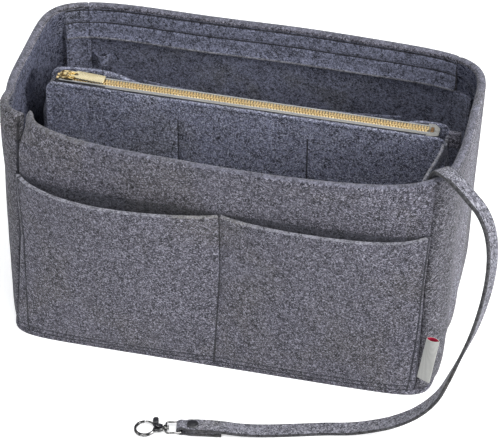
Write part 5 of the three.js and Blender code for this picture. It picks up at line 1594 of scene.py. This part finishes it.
def oval_arc(name, start, stop, half_band, half_height, taper=0.0):
    """Oval bar round the clasp's ring between two angles in degrees."""
    rings = []
    for share in np.linspace(0, 1, 60):
        angle = lerp(start, stop, share) * DEGREES
        out = np.array([math.cos(angle), math.sin(angle), 0])
        centre = out * RING_MIDDLE + (RING_CENTRE, 0, 0)
        shrink = 1 - taper * smooth((share - 0.7) / 0.3)
        rings.append(hoop(centre, half_band * shrink * out, (0, 0, half_height * shrink), 14))
    return capped_tube(name, rings, chrome)


def make_claw():
    half = CLAW_THICKNESS / 2
    body = [(13.3, -2.2), (16.8, -3.2), (19.2, -3.5), (20.6, -2.6), (19.9, -1.0), (19.6, 0.6)]
    body += [(18.4, 2.2), (17.4, 3.5), (15.4, 3.2), (13.3, 2.2)]
    floor = [(13.3, -2.2), (16.8, -3.15), (19.2, -3.4), (20.2, -2.7), (19.4, -1.6), (13.6, -1.6)]
    stem = [(0.0, 9.05), (1.4, 9.05), (1.65, 9.3), (1.65, 9.9), (1.0, 10.05)]
    stem += [(1.0, 13.0), (1.35, 13.1), (1.4, 13.6), (0.0, 13.6)]
    pin = [(0.0, -2.0), (1.2, -2.0), (1.4, -1.85), (1.4, -1.5), (0.8, -1.45)]
    pin += [(radius, -z) for radius, z in reversed(pin)]
    axle = move_piece(turned_piece("stem", stem, chrome, 24), Matrix.Rotation(math.pi / 2, 4, "Y"))
    parts = [
        oval_arc("ring", -165, 86, RING_BAND / 2, half, 0.25),
        extruded_piece("cheek", [body], half - CHEEK, half, chrome, 0.25),
        extruded_piece("cheek", [body], -half, -half + CHEEK, chrome, 0.25),
        extruded_piece("floor", [floor], -half + 0.2, half - 0.2, chrome, 0.2, 2),
        axle,
    ]
    piece = move_piece(joined("metal_clasp_claw", parts), CLASP_PLACE)
    mark = rounded_box("mark", (-1.1, -0.14, -2.06), (1.1, 0.14, -1.96), gunmetal, 0.04)
    rivet = joined("metal_trigger_rivet", [turned_piece("rivet", pin, chrome, 24), mark])
    move_piece(rivet, CLASP_PLACE @ Matrix.Translation(Vector((*PIN_AT, 0)) * MM))
    pieces = ((piece, "clasp_claw"), (rivet, "trigger_pin"))
    return [settle(made, "lanyard_claw", "clasp_metal", node) for made, node in pieces]


def make_trigger():
    arm = [(15.9, 2.3), (18.4, 0.4), (20.7, 2.9), (20.2, 4.6), (16.9, 5.0)]
    hub = arc(PIN_AT, 1.7, 0, 345, 24)
    thumb = [(16.7, 4.6), (20.7, 4.6), (20.8, 8.6), (20.3, 10.1)]
    thumb += [(18.7, 10.5), (17.1, 10.1), (16.6, 8.6)]
    parts = [
        oval_arc("gate", 152, 88.5, 0.72, 0.6),
        extruded_piece("arm", [arm], -0.5, 0.5, gunmetal, 0.2, 2),
        extruded_piece("hub", [hub], -0.5, 0.5, gunmetal, 0.15, 2),
        extruded_piece("thumb", [thumb], -1.2, 1.2, gunmetal, 0.5, 4),
    ]
    piece = move_piece(joined("metal_trigger", parts), CLASP_PLACE)
    return settle(piece, "lanyard_trigger", "dark_metal", "trigger_lever")


def dress_hidden_nodes():
    for node, material in (
        ("base_board", board),
        ("base_loop_strip", grip),
        ("pouch_hook_strip", grip),
        ("snap_socket", gunmetal),
        ("snap_stud", gunmetal),
        ("trigger_spring", chrome),
    ):
        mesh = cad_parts[node].data
        mesh.materials.clear()
        mesh.materials.append(material)


# Camera, light and floor


def make_camera():
    azimuth, elevation = CAMERA_AZIMUTH, CAMERA_ELEVATION
    level = math.cos(elevation)
    back = Vector((math.sin(azimuth) * level, -math.cos(azimuth) * level, math.sin(elevation)))
    right = Vector((math.cos(azimuth), math.sin(azimuth), 0))
    turned = Matrix((right, back.cross(right), back)).transposed()
    turned = turned @ Matrix.Rotation(CAMERA_ROLL, 3, "Z")
    data = bpy.data.cameras.new("camera")
    data.sensor_width = SENSOR_WIDTH
    data.lens = FOCAL_PIXELS / IMAGE_WIDTH * SENSOR_WIDTH
    data.clip_end = 20
    camera = link(bpy.data.objects.new("camera", data))
    place = (Vector(CAMERA_TARGET) + back * CAMERA_DISTANCE) * MM
    camera.matrix_world = Matrix.Translation(place) @ turned.to_4x4()
    bpy.context.scene.camera = camera


def make_area_light(name, place, target, size, power):
    data = bpy.data.lights.new(name, "AREA")
    data.shape = "DISK"
    data.size = size
    data.energy = power
    light = link(bpy.data.objects.new(name, data))
    light.location = place
    light.rotation_euler = (Vector(target) - Vector(place)).to_track_quat("-Z", "Y").to_euler()


def make_world():
    """Even surroundings that the camera sees white and metal sees as a bright band."""
    world = bpy.data.worlds.new("studio")
    bpy.context.scene.world = world
    nodes = Nodes(world, "OutputWorld")
    direction = nodes.add("TexCoord").outputs["Generated"]
    band = nodes.add("ValToRGB", {"Fac": nodes.add("SeparateXYZ", {0: direction}).outputs["Z"]})
    stops = band.color_ramp.elements
    for i, (height, strength) in enumerate(MIRRORED_BANDS):
        stop = stops[i] if i < len(stops) else stops.new(height)
        stop.position = height
        stop.color = (strength, strength, strength, 1)

    def background(colour, strength):
        return nodes.add("Background", {"Color": colour, "Strength": strength}).outputs[0]

    rays = nodes.add("LightPath").outputs
    shine = background(MIRRORED, band.outputs["Color"])
    lit = nodes.add("MixShader", {0: rays["Is Glossy Ray"], 1: background(*AMBIENT), 2: shine})
    white = background((1.0, 1.0, 1.0), 1.0)
    seen = nodes.add("MixShader", {0: rays["Is Camera Ray"], 1: lit.outputs[0], 2: white})
    nodes.put(nodes.output.inputs["Surface"], seen.outputs[0])


def make_floor():
    nodes = Nodes(bpy.data.materials.new("floor_white"))
    nodes.surface(FLOOR_WHITE, 0.9, Specular_IOR_Level=0.1)
    surface = nodes.output.inputs["Surface"]
    seen = nodes.add("LightPath").outputs["Is Camera Ray"]
    glow = nodes.add("Emission", {"Strength": nodes.math("MULTIPLY", seen, FLOOR_GLOW)})
    both = nodes.add("AddShader", {0: surface.links[0].from_socket, 1: glow.outputs[0]})
    nodes.put(surface, both.outputs[0])
    ends = ((-1, -1), (1, -1), (1, 1), (-1, 1))
    corners = [(x * FLOOR_REACH, y * FLOOR_REACH, 0) for x, y in ends]
    mesh = bpy.data.meshes.new("floor")
    mesh.from_pydata(corners, [], [(0, 1, 2, 3)])
    mesh.materials.append(nodes.owner)
    link(bpy.data.objects.new("floor", mesh))


def make_studio():
    make_world()
    for lamp in LAMPS:
        make_area_light(*lamp)
    make_floor()
    bpy.context.scene.view_settings.view_transform = "Standard"


make_camera()
strap, strap_line, strap_length = make_strap()
fold = make_end_loop()
on_strap = [fold, *make_snap(), make_clasp_eye(), *make_claw(), make_trigger()]
on_strap += [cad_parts[node] for node in ("snap_socket", "snap_stud", "trigger_spring")]

make_walls()
make_outside_pockets()
make_inner_pocket()
make_seam_strips()
make_pen_loop()
make_base()
make_label()
finish_stitches("rim_outside", "tub", faint_thread)
for sewn in ("rim_inside", "pockets", "strips"):
    finish_stitches(sewn, "tub", thread)

make_pouch_panel("felt_pouch_front", POUCH_FRONT, -1, "pouch_front_panel")
make_pouch_panel("felt_pouch_back", POUCH_BACK, 1, "pouch_back_panel")
make_gusset()
make_slip_pocket()
make_end_tab()
pouch_stitches()
finish_stitches("pouch", "pouch", thread)
make_tapes()
make_teeth()
make_stops()
make_slider()
make_pull()
dress_hidden_nodes()
make_studio()

bpy.context.view_layer.update()
